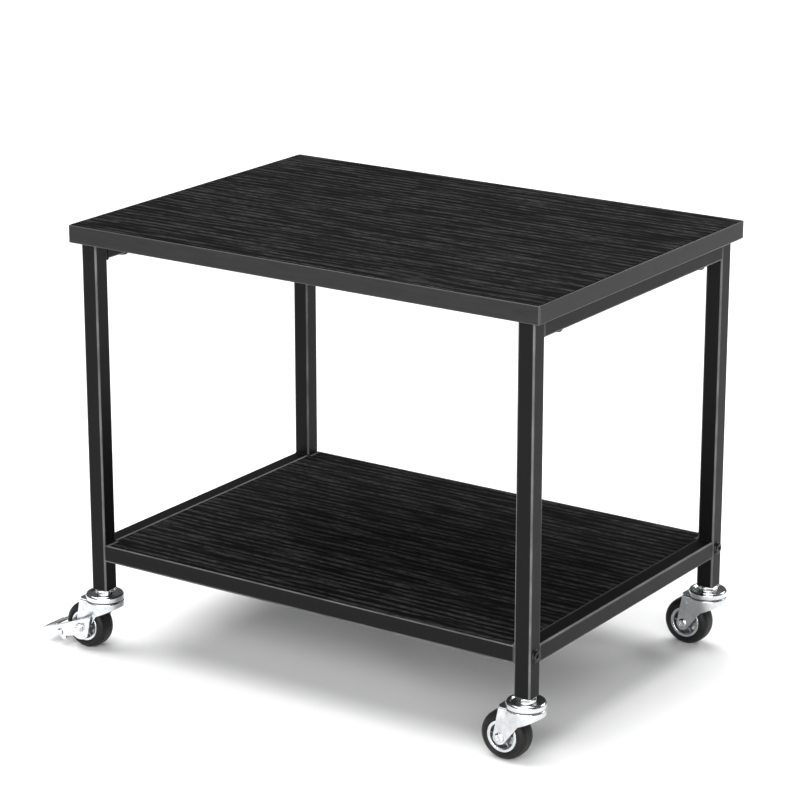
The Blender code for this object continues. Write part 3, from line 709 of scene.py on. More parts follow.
# %% A tree for a weld bead along a path
weld_bead, given = start_tree("weld_bead_on_path", {"Bead radius": "Float", "Ripple spacing": "Float", "Seed": "Int"})
seam = add_node(weld_bead, "GeometryNodeMeshToCurve", {0: given["Shape"]})
beads = add_node(weld_bead, "GeometryNodeCurveToPoints", {0: seam.outputs[0], "Length": given["Ripple spacing"]},
                 mode="LENGTH")
drop = add_node(weld_bead, "GeometryNodeMeshUVSphere", {"Segments": 8, "Rings": 5, "Radius": given["Bead radius"]})
low_size = add_node(weld_bead, "ShaderNodeCombineXYZ", {0: 0.88, 1: 0.88, 2: 0.62})
high_size = add_node(weld_bead, "ShaderNodeCombineXYZ", {0: 1.12, 1: 1.12, 2: 0.78})
size = add_node(weld_bead, "FunctionNodeRandomValue", {0: low_size.outputs[0], 1: high_size.outputs[0],
                                                       "Seed": given["Seed"]}, data_type="FLOAT_VECTOR")
ripples = add_node(weld_bead, "GeometryNodeInstanceOnPoints", {
    "Points": beads.outputs[0], "Instance": drop.outputs[0], "Rotation": beads.outputs["Rotation"],
    "Scale": size.outputs[0]})
end_tree(weld_bead, given, ripples.outputs[0])
print("trees", [tree.name for tree in bpy.data.node_groups])

# %% [markdown]
# ## Boards
#
# The top board is a slab whose four edges carry a plastic strip.  The strip's outer rim is
# rounded, and that small round is what draws the bright line along the board's edge.  A fine seam
# shows where two strips meet at a corner.  The shelf board drops inside the angle rails, so its
# corners are notched around their end plates and its edge is only eased.

# %% Top board slab
BAND, BAND_ROUND = 0.0016, 0.0007
board_low, board_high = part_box("top_board")


def by_direction(mesh):
    """Gives the faces their finish by the way they look: up, down or to the side."""
    for face in mesh.polygons:
        face.material_index = 0 if face.normal.z > 0.5 else 1 if face.normal.z < -0.5 else 2
    return mesh


inset = Vector((BAND, BAND, 0))
slab = bmesh.new()
rounded_block(slab, board_low + inset, board_high - inset - Vector((0, 0, 0.00005)), 0.0001, 1)
slab_mesh = by_direction(finished("board_slab", slab))
board_slab = add_piece("board_slab", slab_mesh, (laminate, backing, band_along_x), ["top_board"])
print("board slab", [round(v, 4) for v in board_slab.dimensions])

# %% Edge strips of the top board
strips = []
for tag, side in (("front", -1), ("back", 1)):
    y = (board_low.y, board_high.y)[side > 0]
    strip = bmesh.new()
    rounded_block(strip, (board_low.x, min(y, y - side * BAND), board_low.z),
                  (board_high.x, max(y, y - side * BAND), board_high.z), BAND_ROUND, 4)
    strips.append(add_piece("edge_strip_" + tag, finished("edge_strip_" + tag, strip, flats=0.0005), [band_along_x],
                            body="frame"))
for tag, side in (("left", -1), ("right", 1)):
    x = (board_low.x, board_high.x)[side > 0]
    strip = bmesh.new()
    rounded_block(strip, (min(x, x - side * BAND), board_low.y + BAND + 0.00008, board_low.z),
                  (max(x, x - side * BAND), board_high.y - BAND - 0.00008, board_high.z), BAND_ROUND, 4)
    strips.append(add_piece("edge_strip_" + tag, finished("edge_strip_" + tag, strip, flats=0.0005), [band_along_y],
                            body="frame"))
print(len(strips), "edge strips")

# %% Shelf board with notched corners
shelf_low, shelf_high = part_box("shelf_board")
NOTCH_X, NOTCH_Y = 0.0033, 0.0125
half_x, half_y = (shelf_high.x - shelf_low.x) / 2, (shelf_high.y - shelf_low.y) / 2
quarter = [(half_x - NOTCH_X, half_y), (half_x - NOTCH_X, half_y - NOTCH_Y), (half_x, half_y - NOTCH_Y)]
outline = []
for sx, sy in ((1, 1), (1, -1), (-1, -1), (-1, 1)):
    turn = quarter if sx * sy > 0 else quarter[::-1]
    outline += [(sx * x, sy * y) for x, y in turn]
panel = plate([outline[::-1]], shelf_high.z - shelf_low.z, 0.0005)
middle = (shelf_low + shelf_high) / 2
panel_mesh = by_direction(finished("shelf_panel", panel, Matrix.Translation(middle)))
shelf_panel = add_piece("shelf_panel", panel_mesh, (laminate, backing, band_along_x), ["shelf_board"])
print("shelf panel", [round(v, 4) for v in shelf_panel.dimensions])

# %% [markdown]
# ## Welded frame
#
# Legs and side rails are 14 mm square tube with 1.2 mm walls.  Rolled tube never has a sharp edge:
# its 1.5 mm corner radius catches the light as a thin line, which the paint's painted highlight
# makes brighter.  Each tube is a hollow bar, so the open feet of the legs show their wall.  The bar
# gets extra lines beside each corner, which keep the painted highlight on each edge narrow.

# %% Tube section and the eight tubes
def tube_section(size, corner, steps):
    inner = size / 2 - corner
    points = []
    for quarter, (sx, sy) in enumerate(((1, 1), (-1, 1), (-1, -1), (1, -1))):
        rounding = arc(corner, 90 * quarter, 90 * quarter + 90, steps + 1, (sx * inner, sy * inner))
        ease = [Vector(p).lerp(Vector(q), 0.06) for p, q in (
            (rounding[0], (rounding[0][0], -rounding[0][1]) if quarter % 2 == 0 else (-rounding[0][0], rounding[0][1])),
            (rounding[-1], (-rounding[-1][0], rounding[-1][1]) if quarter % 2 == 0
             else (rounding[-1][0], -rounding[-1][1])))]
        points += [tuple(ease[0])] + rounding + [tuple(ease[1])]
    return points


outer_section = tube_section(TUBE, TUBE_CORNER, 6)
inner_section = tube_section(TUBE - 0.0024, 0.0006, 6)
tube_nodes = ["leg_" + corner for corner in corners] + [
    f"{level}_rail_{side}" for level in ("top", "lower") for side in ("left", "right")]
tubes = []
for node in tube_nodes:
    low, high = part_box(node)
    size = high - low
    upright = size.z > size.y
    lay = Matrix.Translation((low + high) / 2) @ (Matrix() if upright else Matrix.Rotation(math.pi / 2, 4, "X"))
    length = size.z if upright else size.y
    shell = bmesh.new()
    bar(shell, outer_section, -length / 2, length / 2, inner_section)
    tubes.append(add_piece("tube_" + node, finished("tube_" + node, shell, lay), [powder_coat], [node]))
print(len(tubes), "tubes,", triangles(*tubes), "triangles")

# %% [markdown]
# The shelf's long rails are rolled angles: a 14 mm outer flange and a 14 mm ledge under the
# board, with a rounded heel.  A plate is welded into each end and takes the frame bolt.

# %% Angle rails
ANGLE_WALL, END_PLATE = 0.0015, 0.003
for tag, side in (("front", -1), ("back", 1)):
    low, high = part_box("angle_rail_" + tag)
    depth, height = high.y - low.y, high.z - low.z
    section = [(0, 0), (depth, 0), (depth, ANGLE_WALL), (ANGLE_WALL, ANGLE_WALL), (ANGLE_WALL, height), (0, height)]
    section = eased(filleted(section, [0.0018, 0.0005, 0.0005, 0.0014, 0.0005, 0.0007], 4), 0.0006)
    shell = bmesh.new()
    bar(shell, section, low.x, high.x)
    # The bar runs along Z: X is its depth from the outer face and Y its height.
    lay = Matrix(((0, 0, 1, 0), (-side, 0, 0, low.y if side < 0 else high.y), (0, 1, 0, low.z), (0, 0, 0, 1)))
    shell.transform(lay)
    for x in (low.x, high.x - END_PLATE):
        rounded_block(shell, (x, low.y + 0.0006, low.z + 0.0004), (x + END_PLATE, high.y - 0.0006, high.z - 0.0004),
                      0.0004, 2)
    rail = add_piece("angle_" + tag, finished("angle_" + tag, shell), [powder_coat], ["angle_rail_" + tag])
    print(rail.name, triangles(rail), "triangles")

# %% [markdown]
# Each rail end is welded to its leg.  A real bead is a row of small overlapping drops.  The path
# is a polyline laid along the joint: under the rail and up its inner side for the top rails, and
# above and below the rail for the lower ones, whose inner side is covered by the shelf.

# %% Weld beads
BEAD, RIPPLE = 0.0010, 0.0009
path = bmesh.new()
for node in tube_nodes[4:]:
    low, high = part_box(node)
    inwards = -1 if (low.x + high.x) / 2 > stand_x else 1
    inner_x, outer_x = ((low.x, high.x) if inwards < 0 else (high.x, low.x))
    outer_x += inwards * 0.0016
    for y in (low.y, high.y):
        if node.startswith("top"):
            runs = [[(outer_x, low.z), (inner_x, low.z), (inner_x, high.z)]]
        else:
            runs = [[(outer_x, z), (inner_x - inwards * 0.001, z)] for z in (low.z, high.z)]
        for run in runs:
            verts = [path.verts.new((x, y, z)) for x, z in run]
            for a, b in zip(verts, verts[1:]):
                path.edges.new((a, b))
path_mesh = bpy.data.meshes.new("weld_path")
path.to_mesh(path_mesh)
path.free()
bead_mesh = run_tree("weld_beads", weld_bead, path_mesh, {
    "Bead radius": BEAD, "Ripple spacing": RIPPLE, "Seed": 7, "Finish": powder_coat}, sharp=80)
weld_beads = add_piece("weld_beads", bead_mesh, [powder_coat], body="frame")
print("weld beads", triangles(weld_beads), "triangles")

# %% [markdown]
# ## Fasteners
#
# Black button-head bolts with a hexagon socket go through the legs, and pan-head screws with a
# cross recess hold the top board from below.  Each is turned once and set at its four places by
# the corner tree, which also turns it to a random angle, as hands do.

# %% Frame bolts
bolt_low, bolt_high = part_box("frame_bolt_front_right")
rail_z = (bolt_low.z + bolt_high.z) / 2
leg_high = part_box("leg_front_right")[1]
reach = 0.0170
head = filleted([(0.0056 / 2 + 0.0002, 0.0019), (0.0036, 0.0019), (0.0047, 0.0011), (0.00525, GAP), (0.0030, GAP)],
                [0, 0.0010, 0.0012, 0, 0], 4, closed=False)
socket_flat = 0.0016
shell = bmesh.new()
turned(shell, [(0, 0.0004), (hexagon(socket_flat), 0.0007), (hexagon(socket_flat), 0.0017),
               (hexagon(socket_flat * 1.12), 0.0019)] + head + [(0.0030, -reach), (0, -reach)], 48)
bolt_mesh = run_tree("frame_bolts", four_corners, finished("bolt", shell, sharp=45), {
    "Spacing X": leg_high.x * 2 - 2 * stand_x, "Spacing Y": 2 * stem_axis["back_right"].y,
    "Centre": (stand_x, 0, rail_z), "Lean outwards": math.pi / 2, "Turn seed": 4, "Finish": black_oxide})
frame_bolts = add_piece("frame_bolts", bolt_mesh, [black_oxide], ["frame_bolt_" + corner for corner in corners])
print("frame bolts", [round(v, 4) for v in frame_bolts.dimensions])

# %% Board screws
screw_low, screw_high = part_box("board_screw_front_right")
under = screw_low.z + 0.0021
head = filleted([(0.0042, -0.0021), (0.0050, -0.0012), (0.0050, -GAP), (0.0021, -GAP)],
                [0.0, 0.0008, 0.0002, 0], 4, closed=False)
shell = bmesh.new()
turned(shell, [(0, -0.0008), (cross_recess(0.0012, 0.0004), -0.0010), (cross_recess(0.0024, 0.0006), -0.0021)]
       + head + [(0.0021, screw_high.z - under - 0.0025), (0, screw_high.z - under)], 64)
screw_mesh = run_tree("board_screws", four_corners, finished("screw", shell, sharp=45), {
    "Spacing X": 2 * (stem_axis["front_right"].x - stand_x), "Spacing Y": -(screw_low.y + screw_high.y),
    "Centre": (stand_x, 0, under), "Lean outwards": 0.0, "Turn seed": 9, "Finish": black_oxide})
board_screws = add_piece("board_screws", screw_mesh, [black_oxide], ["board_screw_" + corner for corner in corners])
print("board screws", [round(v, 4) for v in board_screws.dimensions])

# %% [markdown]
# ## Stems and caps
#
# A steel plug in each foot takes the caster's threaded stem.  Below it the stem has a hexagonal
# collar with chamfered corners, then it runs down through the cap and the fork and ends in a
# rivet head.  The cap is a pressed dish with a rolled rim.  It covers the race, and a thin dark
# line is left between it and the fork.

# %% Foot plugs
plug_low, plug_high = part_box("leg_insert_front_right")
half = (plug_high.x - plug_low.x) / 2
for corner in corners:
    square = filleted([(-half, -half), (half, -half), (half, half), (-half, half)], 0.001, 3)
    shell = plate([square, arc(STEM_RADIUS + GAP, 0, 350, 36)], plug_high.z - plug_low.z, 0.0003)
    lay = Matrix.Translation(stem_axis[corner] + Vector((0, 0, (plug_low.z + plug_high.z) / 2)))
    add_piece("foot_plug_" + corner, finished("foot_plug", shell, lay), [disc_zinc], ["leg_insert_" + corner])
print("foot plugs", round(2000 * half, 2), "mm square")

# %% Stems with their hexagonal collar
collar_low, collar_high = 0.0474, FOOT_Z - GAP
flat = 0.0074 * math.cos(math.pi / 6)
chamfer = math.tan(math.radians(30))
six = hexagon(flat)


def collar_edge(level, sign):
    """The collar's rim drops towards its corners, as a 30 degree chamfer leaves it."""
    return lambda a: level - sign * max(0.0, six(a) - flat * 0.97) * chamfer


shell = bmesh.new()
THREAD_TOP, THREAD_PITCH, THREAD_RINGS = 0.0690, 0.0008, 22
thread = []
for k in range(THREAD_RINGS):
    height = THREAD_TOP - THREAD_PITCH * k
    thread += [(STEM_RADIUS, height), (STEM_RADIUS - THREAD_PITCH / 2, height - THREAD_PITCH / 2)]
turned(shell, [(0, 0.0695), (0.0031, 0.0695)] + thread
       + [(STEM_RADIUS, collar_high), (flat * 0.97, collar_high), (six, collar_edge(collar_high, 1)),
          (six, collar_edge(collar_low, -1)), (flat * 0.97, collar_low), (STEM_RADIUS, collar_low),
          (STEM_RADIUS, 0.0414), (0.0054, 0.0414), (0.0056, 0.0412), (0.0056, 0.0406), (0.0050, 0.0403),
          (0.0018, 0.0403), (0.0014, 0.0406), (0, 0.0406)], 72)
stem_mesh = finished("stem", shell, sharp=28)
for corner in corners:
    add_piece("caster_stem_" + corner, at_corner(stem_mesh, corner), [bright_zinc], ["stem_" + corner])
print("stem", len(stem_mesh.polygons), "faces")

# %% Caps
skin = filleted([(STEM_RADIUS + GAP, 0.0471), (0.0109, 0.0471), (0.0122, 0.0484), (0.0141, 0.0485),
                 (CAP_RADIUS, 0.0474), (CAP_RADIUS, 0.0440), (0.0149, 0.0438), (0.0141, 0.0438)],
                [0, 0.0006, 0.0008, 0.0009, 0.0012, 0.0002, 0.0001, 0], 5, closed=False)
lining = filleted([(0.0141, 0.0438), (0.0141, 0.0468), (0.0126, 0.0471), (0.0112, 0.0460),
                   (STEM_RADIUS + GAP, 0.0460)], [0, 0.0006, 0.0006, 0.0006, 0], 4, closed=False)
shell = bmesh.new()
turned(shell, skin + lining[1:], 96, closed=True)
cap_mesh = finished("cap", shell)
for corner in corners:
    add_piece("race_cap_" + corner, at_corner(cap_mesh, corner), [chrome], ["swivel_cap_" + corner])
print("cap", len(cap_mesh.polygons), "faces")

# %% Balls of the race
ball = bmesh.new()
bmesh.ops.create_icosphere(ball, subdivisions=2, radius=0.0011)
ball_mesh = run_tree("race_balls", ring_of_shapes, finished("ball", ball), {
    "Count": 18, "Radius": 0.0090, "Height": 0.0446, "Finish": chrome}, sharp=80)
for corner in corners:
    add_piece("race_balls_" + corner, at_corner(ball_mesh, corner), [chrome], ["ball_ring_" + corner])
print("18 balls in each race")

# %% [markdown]
# ## Forks
#
# The fork is one pressing: a round plate under the cap, a skirt that wraps its front, and two arms
# that flatten as they run down to the axle.  It is lofted from the outline of the plate to the
# outline of the arm's foot, column by column, with a rounded shoulder and a shallow crease down
# each arm, and a Solidify modifier gives it the sheet's 1.3 mm.

# %% Columns of the fork, from one arm's rear edge to the front
def eased(value):
    value = min(max(value, 0), 1)
    return value * value * (3 - 2 * value)


def fork_columns(arm_steps, skirt_steps):
    """Pairs of a top point (x, y) and a bottom point (x, z)."""
    turn_x = -math.sqrt(CAP_RADIUS ** 2 - ARM_Y ** 2)
    straight = FORK_BACK + turn_x
    start = math.atan2(-ARM_Y, turn_x)
    sweep = math.radians(138)

    def foot(angle):
        return (-TRAIL + ARM_END * math.cos(angle), WHEEL_RADIUS + ARM_END * math.sin(angle))

    rise_from, rise_to = foot(math.pi + sweep), (0.0, 0.0310)
    columns = []
    for k in range(arm_steps):
        along = k / arm_steps
        run = along * (straight + (-math.pi / 2 - start) * CAP_RADIUS)
        angle = start + (run - straight) / CAP_RADIUS
        top = (-FORK_BACK + run, -ARM_Y) if run <= straight else (
            CAP_RADIUS * math.cos(angle), CAP_RADIUS * math.sin(angle))
        low = foot(math.pi + sweep * along / 0.6) if along <= 0.6 else tuple(
            a + (b - a) * (along - 0.6) / 0.4 for a, b in zip(rise_from, rise_to))
        columns.append((top, low))
    for k in range(skirt_steps + 1):
        angle = math.pi / 2 * (k / skirt_steps - 1)
        top = (CAP_RADIUS * math.cos(angle), CAP_RADIUS * math.sin(angle))
        rise = math.sin(k / skirt_steps * math.pi / 2)
        columns.append((top, (top[0], rise_to[1] + (0.0385 - rise_to[1]) * rise)))
    return columns


print(len(fork_columns(40, 20)), "columns on each side")

# %% The fork's skin
CREASE_X, CREASE_WIDTH, CREASE_HEIGHT, SHOULDER = -0.0128, 0.0045, 0.0005, 0.0012


def crease(x, z):
    """How far the arm's face stands out beside its vertical fold line."""
    return CREASE_HEIGHT * max(0, 1 - abs(x - CREASE_X) / CREASE_WIDTH) * eased((0.0405 - z) / 0.006) * eased(
        (z - 0.0185) / 0.008)


def fork_skin(rows=18, bends=5):
    shell = bmesh.new()
    half = fork_columns(40, 20)
    both = [(top, low, 1) for top, low in half] + [(top, low, -1) for top, low in reversed(half[:-1])]
    lines = []
    for top, low, mirror in both:
        angle, reach = math.atan2(top[1] * mirror, top[0]), math.hypot(*top)
        bore = STEM_RADIUS + GAP
        line = [shell.verts.new((bore * math.cos(angle), bore * math.sin(angle), FORK_TOP))]
        for k in range(bends):
            bend = math.pi / 2 * k / bends
            share = 1 - SHOULDER * (1 - math.sin(bend)) / reach
            line.append(shell.verts.new((top[0] * share, top[1] * mirror * share,
                                         FORK_TOP - SHOULDER * (1 - math.cos(bend)))))
        for row in range(rows + 1):
            share = row / rows
            x = top[0] + (low[0] - top[0]) * share
            z = FORK_TOP - SHOULDER + (low[1] - FORK_TOP + SHOULDER) * share
            y = top[1]
            if y < -ARM_Y:
                y += (-ARM_Y - y) * eased((FORK_TOP - z) / 0.018)
            if x < 0:
                y -= crease(x, z)
            line.append(shell.verts.new((x, y * mirror, z)))
        lines.append(line)
    for a, b in zip(lines, lines[1:]):
        for k in range(len(a) - 1):
            shell.faces.new((a[k], a[k + 1], b[k + 1], b[k]))
    tab = [(-TAB_X + 0.0015, 0.0085), (-TAB_X, 0.0070), (-TAB_X, 0.0025), (-TAB_X, -0.0025), (-TAB_X, -0.0070),
           (-TAB_X + 0.0015, -0.0085)]
    spread = [math.radians(v) for v in (30, 22, 8, -8, -22, -30)]
    outer = [lines[-1][1]] + [shell.verts.new((x, y, FORK_TOP)) for x, y in tab] + [lines[0][1]]
    bore_points = [shell.verts.new((-bore * math.cos(a), bore * math.sin(a), FORK_TOP)) for a in spread]
    inner = [lines[-1][0]] + bore_points + [lines[0][0]]
    for k in range(len(outer) - 1):
        shell.faces.new((inner[k], outer[k], outer[k + 1], inner[k + 1]))
    bmesh.ops.recalc_face_normals(shell, faces=shell.faces)
    if next(f for f in shell.faces if lines[0][0] in f.verts).normal.z < 0:
        bmesh.ops.reverse_faces(shell, faces=shell.faces)
    return shell


skin_mesh = bpy.data.meshes.new("fork_skin")
shell = fork_skin()
shell.to_mesh(skin_mesh)
shell.free()
print("fork skin", len(skin_mesh.polygons), "faces")

# %% Wall thickness and rounded rims
holder = bpy.data.objects.new("fork_skin", skin_mesh)
bpy.context.scene.collection.objects.link(holder)
wall = holder.modifiers.new("sheet", "SOLIDIFY")
wall.thickness, wall.offset, wall.use_even_offset = FORK_WALL, -1, True
rims = holder.modifiers.new("rims", "BEVEL")
rims.width, rims.segments, rims.limit_method, rims.angle_limit = 0.00025, 2, "ANGLE", math.radians(55)
made = bpy.data.meshes.new_from_object(holder.evaluated_get(bpy.context.evaluated_depsgraph_get()))
bpy.data.objects.remove(holder)
shell = bmesh.new()
shell.from_mesh(made)
fork_mesh = finished("fork", shell, sharp=50)
forks = [add_piece("caster_fork_" + corner, at_corner(fork_mesh, corner), [bright_zinc], ["fork_" + corner])
         for corner in corners]
print("forks", triangles(*forks), "triangles")

# %% [markdown]
# ## Wheels
#
# The wheel is a pressed disc with a bright rim and stiffening ribs, and a solid rubber tyre round
# it.  The tyre's crown is round, its sides are nearly flat, and a thin line runs round the crown
# where the mould closed.  Everything here is turned about Z and then laid on the axle.

# %% Tyres
axle_place = Matrix.Translation((-TRAIL, 0, WHEEL_RADIUS)) @ Matrix.Rotation(math.pi / 2, 4, "X")
half, seat = TYRE_WIDTH / 2, CORE_RADIUS + GAP
flank = [(seat, half - 0.0006), (0.0137, half - 0.0001), (0.0142, half - 0.0004), (0.0147, half - 0.0001),
         (0.0158, half - 0.0004), (0.0180, half - 0.0019), (WHEEL_RADIUS - 0.00005, half - 0.0052),
         (WHEEL_RADIUS - 0.00012, 0.0004), (WHEEL_RADIUS, 0.0001)]
side_profile = filleted(flank, [0, 0.0003, 0.0004, 0.0005, 0.0016, 0.0032, 0.0045, 0.0002, 0], 6, closed=False)
shell = bmesh.new()
turned(shell, side_profile + [(r, -h) for r, h in reversed(side_profile)], 96, closed=True)
tyre_mesh = finished("tyre", shell, axle_place, sharp=60)
for corner in corners:
    add_piece("rubber_tyre_" + corner, at_corner(tyre_mesh, corner), [rubber], ["tyre_" + corner])
print("tyre", len(tyre_mesh.polygons), "faces")

# %% Wheel discs
web, rim, hub = 0.0015, 0.0080, 0.0095
face = filleted([(AXLE_RADIUS + GAP, hub), (0.0046, hub), (0.0052, hub - 0.0012), (0.0055, web), (0.0092, web),
                 (0.0099, rim - 0.0006), (0.0104, rim), (0.0122, rim), (CORE_RADIUS, rim - 0.0004)],
                [0, 0.0003, 0.0003, 0.0008, 0.0010, 0.0005, 0.0005, 0.0004, 0], 4, closed=False)
shell = bmesh.new()
turned(shell, face + [(r, -h) for r, h in reversed(face)], 96, closed=True)
disc_mesh = finished("disc", shell, axle_place, sharp=45)
for polygon in disc_mesh.polygons:
    across = polygon.center - Vector((-TRAIL, 0, WHEEL_RADIUS))
    polygon.material_index = 1 if math.hypot(across.x, across.z) > 0.0098 or abs(across.y) > 0.0085 else 0
for corner in corners:
    add_piece("wheel_disc_" + corner, at_corner(disc_mesh, corner), [disc_zinc, bright_zinc],
              ["wheel_core_" + corner])
print("disc", len(disc_mesh.polygons), "faces")

# %% Ribs of the wheel discs
RIBS = 6
rib_shell = bmesh.new()
rounded_block(rib_shell, (-0.0024, -0.0006, -0.0058), (0.0024, 0.0006, 0.0058), 0.0003, 2)
rib_mesh = run_tree("wheel_ribs", ring_of_shapes, finished("rib", rib_shell), {
    "Count": RIBS, "Radius": 0.0074, "Height": 0.0, "Finish": disc_zinc})
rib_mesh.transform(axle_place)
for corner in corners:
    add_piece("wheel_ribs_" + corner, at_corner(rib_mesh, corner), [disc_zinc], body="wheel_" + corner)
print(RIBS, "ribs in each wheel")

# %% [markdown]
# The axle is a rivet whose head has a pressed ring and a hollow middle.  On the two braked wheels
# it is a longer bolt: a washer and a chamfered nut clamp the brake plates on its outer side.

# %% Axles
def rivet_head(seat, sign):
    """A domed head with a pressed ring, from its middle out, on either end of the axle."""
    ring = filleted([(0, 0.0004), (0.0013, 0.0004), (0.0017, 0.0012), (0.0028, 0.0012), (0.0038, 0.0005), (0.0038, 0)],
                    [0, 0.0003, 0.0003, 0.0006, 0.0004, 0], 4, closed=False)
    return [(r, sign * (seat + h)) for r, h in ring]


def axle_mesh(braked):
    seat = (PLATE_OUT if braked else ARM_Y) + GAP
    shell = bmesh.new()
    if braked:
        nut = hexagon(0.0033)
        top = seat + 0.0034

        def slope(level, sign):
            return lambda a: level - sign * max(0.0, nut(a) - 0.0033) * chamfer

        outer = [(0, seat + 0.0042), (0.0016, seat + 0.0042), (0.0019, seat + 0.0039), (0.0019, top),
                 (0.0032, top), (nut, slope(top, 1)), (nut, seat + 0.0005), (0.0038, seat + 0.0005),
                 (0.0038, seat + 0.0001), (0.0037, seat)]
    else:
        outer = rivet_head(seat, 1)
    inner = rivet_head(seat, -1)[::-1]
    turned(shell, outer + [(AXLE_RADIUS, seat), (AXLE_RADIUS, -seat)] + inner, 60)
    return shell


for corner, (sx, sy) in corners.items():
    lay = Matrix.Translation((-TRAIL, 0, WHEEL_RADIUS)) @ Matrix.Rotation(-sy * math.pi / 2, 4, "X")
    mesh = finished("axle", axle_mesh(corner in braked_corners), lay, sharp=30)
    add_piece("wheel_axle_" + corner, at_corner(mesh, corner), [bright_zinc], ["axle_" + corner])
print("axles at", WHEEL_RADIUS, "m")

# %% [markdown]
# ## Brakes
#
# Two plates are clamped beside the wheel.  Their upper edge slopes and is folded outwards, which
# stiffens it, and an ear at the back holds the pedal's pin.  The pedal is a ribbed tread on two
# ears.  When it is pressed, it tips about the pin and its toe bar bears on the tyre.

# %% Brake plates
def brake_line(x):
    """Height of the brake's sloping top line at x behind the stem."""
    return 0.0304 + (x + 0.006) * math.tan(PEDAL_TILT)


front_x, back_x = -0.0046, -0.0400
cheek_outline = filleted([(front_x, brake_line(front_x) - 0.0004), (back_x, brake_line(back_x) - 0.0004)]
                         + arc(0.0038, 180, 270, 9, (PIVOT_X, PIVOT_Z))
                         + arc(0.0098, 235, 325, 19, (-TRAIL, WHEEL_RADIUS)),
                         [0.0012, 0.0008] + [0] * 28, 4)
upright = Matrix.Rotation(math.pi / 2, 4, "X")
for corner, (sx, sy) in corners.items():
    if corner not in braked_corners:
        continue
    for tag, side in (("outer", sy), ("inner", -sy)):
        holes = [arc(AXLE_RADIUS + GAP, 0, 352, 45, (-TRAIL, WHEEL_RADIUS)),
                 arc(0.0018, 0, 350, 36, (PIVOT_X, PIVOT_Z))]
        shell = plate([cheek_outline] + holes, PLATE_OUT - PLATE_IN, 0.0003)
        shell.transform(Matrix.Translation((0, side * (PLATE_IN + PLATE_OUT) / 2, 0)) @ upright)
        fold = bmesh.new()
        section = filleted([(0, -0.0007), (0.0040, -0.0007), (0.0040, 0.0005), (0.0008, 0.0005), (0, -0.0002)],
                           [0.0001, 0.0004, 0.0004, 0.0008, 0.0002], 4)
        run = (front_x - back_x) / math.cos(PEDAL_TILT)
        bar(fold, section, -run / 2, run / 2)
        middle_x = (front_x + back_x) / 2
        lay = Matrix(((0, 0, 1, middle_x), (side, 0, 0, side * PLATE_IN), (0, 1, 0, brake_line(middle_x) - 0.0003),
                      (0, 0, 0, 1)))
        tilt = Matrix.Translation((middle_x, 0, brake_line(middle_x))) @ Matrix.Rotation(-PEDAL_TILT, 4, "Y") \
            @ Matrix.Translation((-middle_x, 0, -brake_line(middle_x)))
        fold.transform(tilt @ lay)
        joined = bpy.data.meshes.new("fold")
        bmesh.ops.recalc_face_normals(fold, faces=fold.faces)
        fold.to_mesh(joined)
        fold.free()
        shell.from_mesh(joined)
        name = f"brake_cheek_{tag}_{corner}"
        add_piece(name, at_corner(finished(name, shell), corner), [bright_zinc],
                  [f"brake_plate_{tag}_{corner}"])
print("brake plates", round(run * 1000, 1), "mm along the fold")

# %% Pedals with their ears and toe bar
tread_front, tread_back, tread_half = -0.0405, -PEDAL_TIP, 0.013
foot = [(-0.0478, brake_line(-0.0478)), (-0.0412, brake_line(-0.0412))]
ear_outline = foot[::-1] + arc(0.0024, -110, -10, 8, (-0.0340, 0.0070)) + arc(0.0036, 0, 70, 8, (PIVOT_X, PIVOT_Z))
ear_in, ear_out = 0.0108, 0.0121
middle_x = (tread_front + tread_back) / 2
run = (tread_front - tread_back) / math.cos(PEDAL_TILT)
tread_lay = Matrix.Translation((middle_x, 0, brake_line(middle_x))) @ Matrix.Rotation(-PEDAL_TILT, 4, "Y")
shell = plate([filleted([(-run / 2, -tread_half), (run / 2, -tread_half), (run / 2, tread_half),
                         (-run / 2, tread_half)], [0.0022, 0.0006, 0.0006, 0.0022], 5)], 0.0012, 0.0004)
shell.transform(tread_lay @ Matrix.Translation((0, 0, -0.0001)))
for side in (-1, 1):
    ear = plate([ear_outline, arc(0.0018, 0, 350, 36, (PIVOT_X, PIVOT_Z))], ear_out - ear_in, 0.0002)
    ear.transform(Matrix.Translation((0, side * (ear_in + ear_out) / 2, 0)) @ upright)
    part = bpy.data.meshes.new("ear")
    ear.to_mesh(part)
    ear.free()
    shell.from_mesh(part)
toe = bmesh.new()
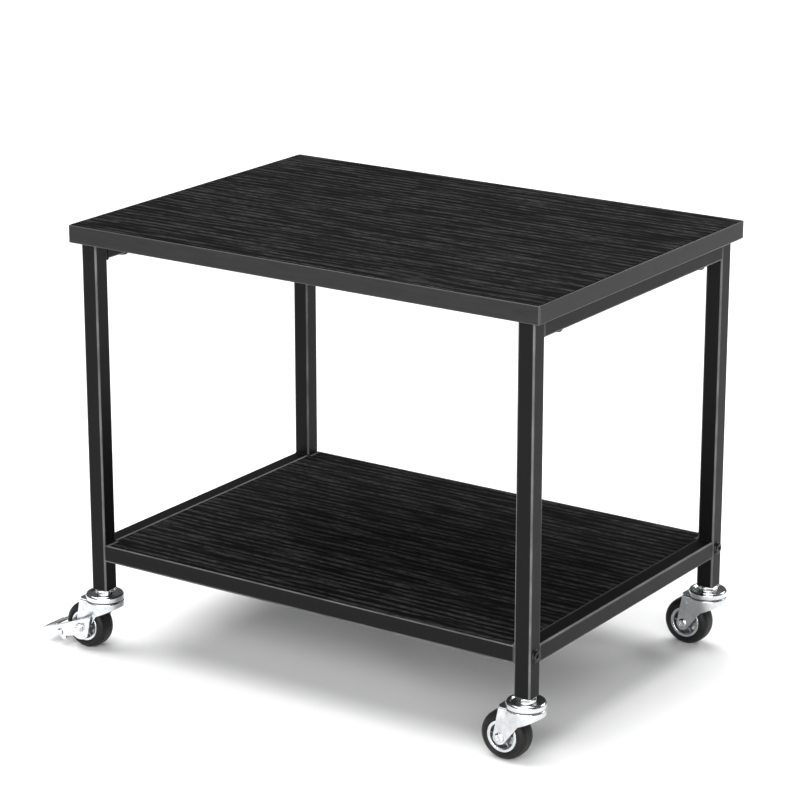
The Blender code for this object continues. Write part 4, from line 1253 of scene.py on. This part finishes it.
turned(toe, [(0, -ear_in), (0.0008, -ear_in), (0.0010, -ear_in + 0.0002), (0.0010, ear_in - 0.0002),
             (0.0008, ear_in), (0, ear_in)], 24)
toe.transform(Matrix.Translation((-0.0336, 0, 0.0066)) @ upright)
part = bpy.data.meshes.new("toe")
toe.to_mesh(part)
toe.free()
shell.from_mesh(part)
pedal_mesh = finished("pedal", shell)
for corner in braked_corners:
    add_piece("foot_pedal_" + corner, at_corner(pedal_mesh, corner), [bright_zinc], ["brake_pedal_" + corner])
print("pedal", len(pedal_mesh.polygons), "faces")

# %% Ribs across the pedal's tread
tread_rib = bmesh.new()
rounded_block(tread_rib, (-0.0005, -0.0105, 0.0004), (0.0005, 0.0105, 0.00085), 0.0002, 2)
tread_ribs = run_tree("tread_ribs", row_of_shapes, finished("tread_rib", tread_rib), {
    "Count": 5, "First": (-0.0055, 0, 0), "Step": (0.0026, 0, 0), "Finish": bright_zinc})
tread_ribs.transform(tread_lay)
for corner in braked_corners:
    add_piece("pedal_ribs_" + corner, at_corner(tread_ribs, corner), [bright_zinc], body="pedal_" + corner)
print("5 ribs on each pedal")

# %% Brake pins
pin_seat = PLATE_OUT + GAP
pin_head = filleted([(0, pin_seat + 0.0009), (0.0017, pin_seat + 0.0009),
                     (0.0026, pin_seat + 0.0004), (0.0026, pin_seat),
                     (PIN_RADIUS, pin_seat)], [0, 0.0006, 0.0003, 0, 0], 4, closed=False)
shell = bmesh.new()
turned(shell, pin_head + [(r, -h) for r, h in reversed(pin_head)], 40)
pin_mesh = finished("pin", shell, Matrix.Translation((PIVOT_X, 0, PIVOT_Z)) @ upright, sharp=50)
for corner in braked_corners:
    add_piece("pedal_pin_" + corner, at_corner(pin_mesh, corner), [bright_zinc], ["brake_pin_" + corner])
print("pin", round(2000 * PIN_RADIUS, 1), "mm")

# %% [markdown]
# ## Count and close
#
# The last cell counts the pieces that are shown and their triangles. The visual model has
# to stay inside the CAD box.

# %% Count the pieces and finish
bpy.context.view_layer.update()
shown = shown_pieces()
print(len(shown), "pieces,", triangles(*shown), "triangles")
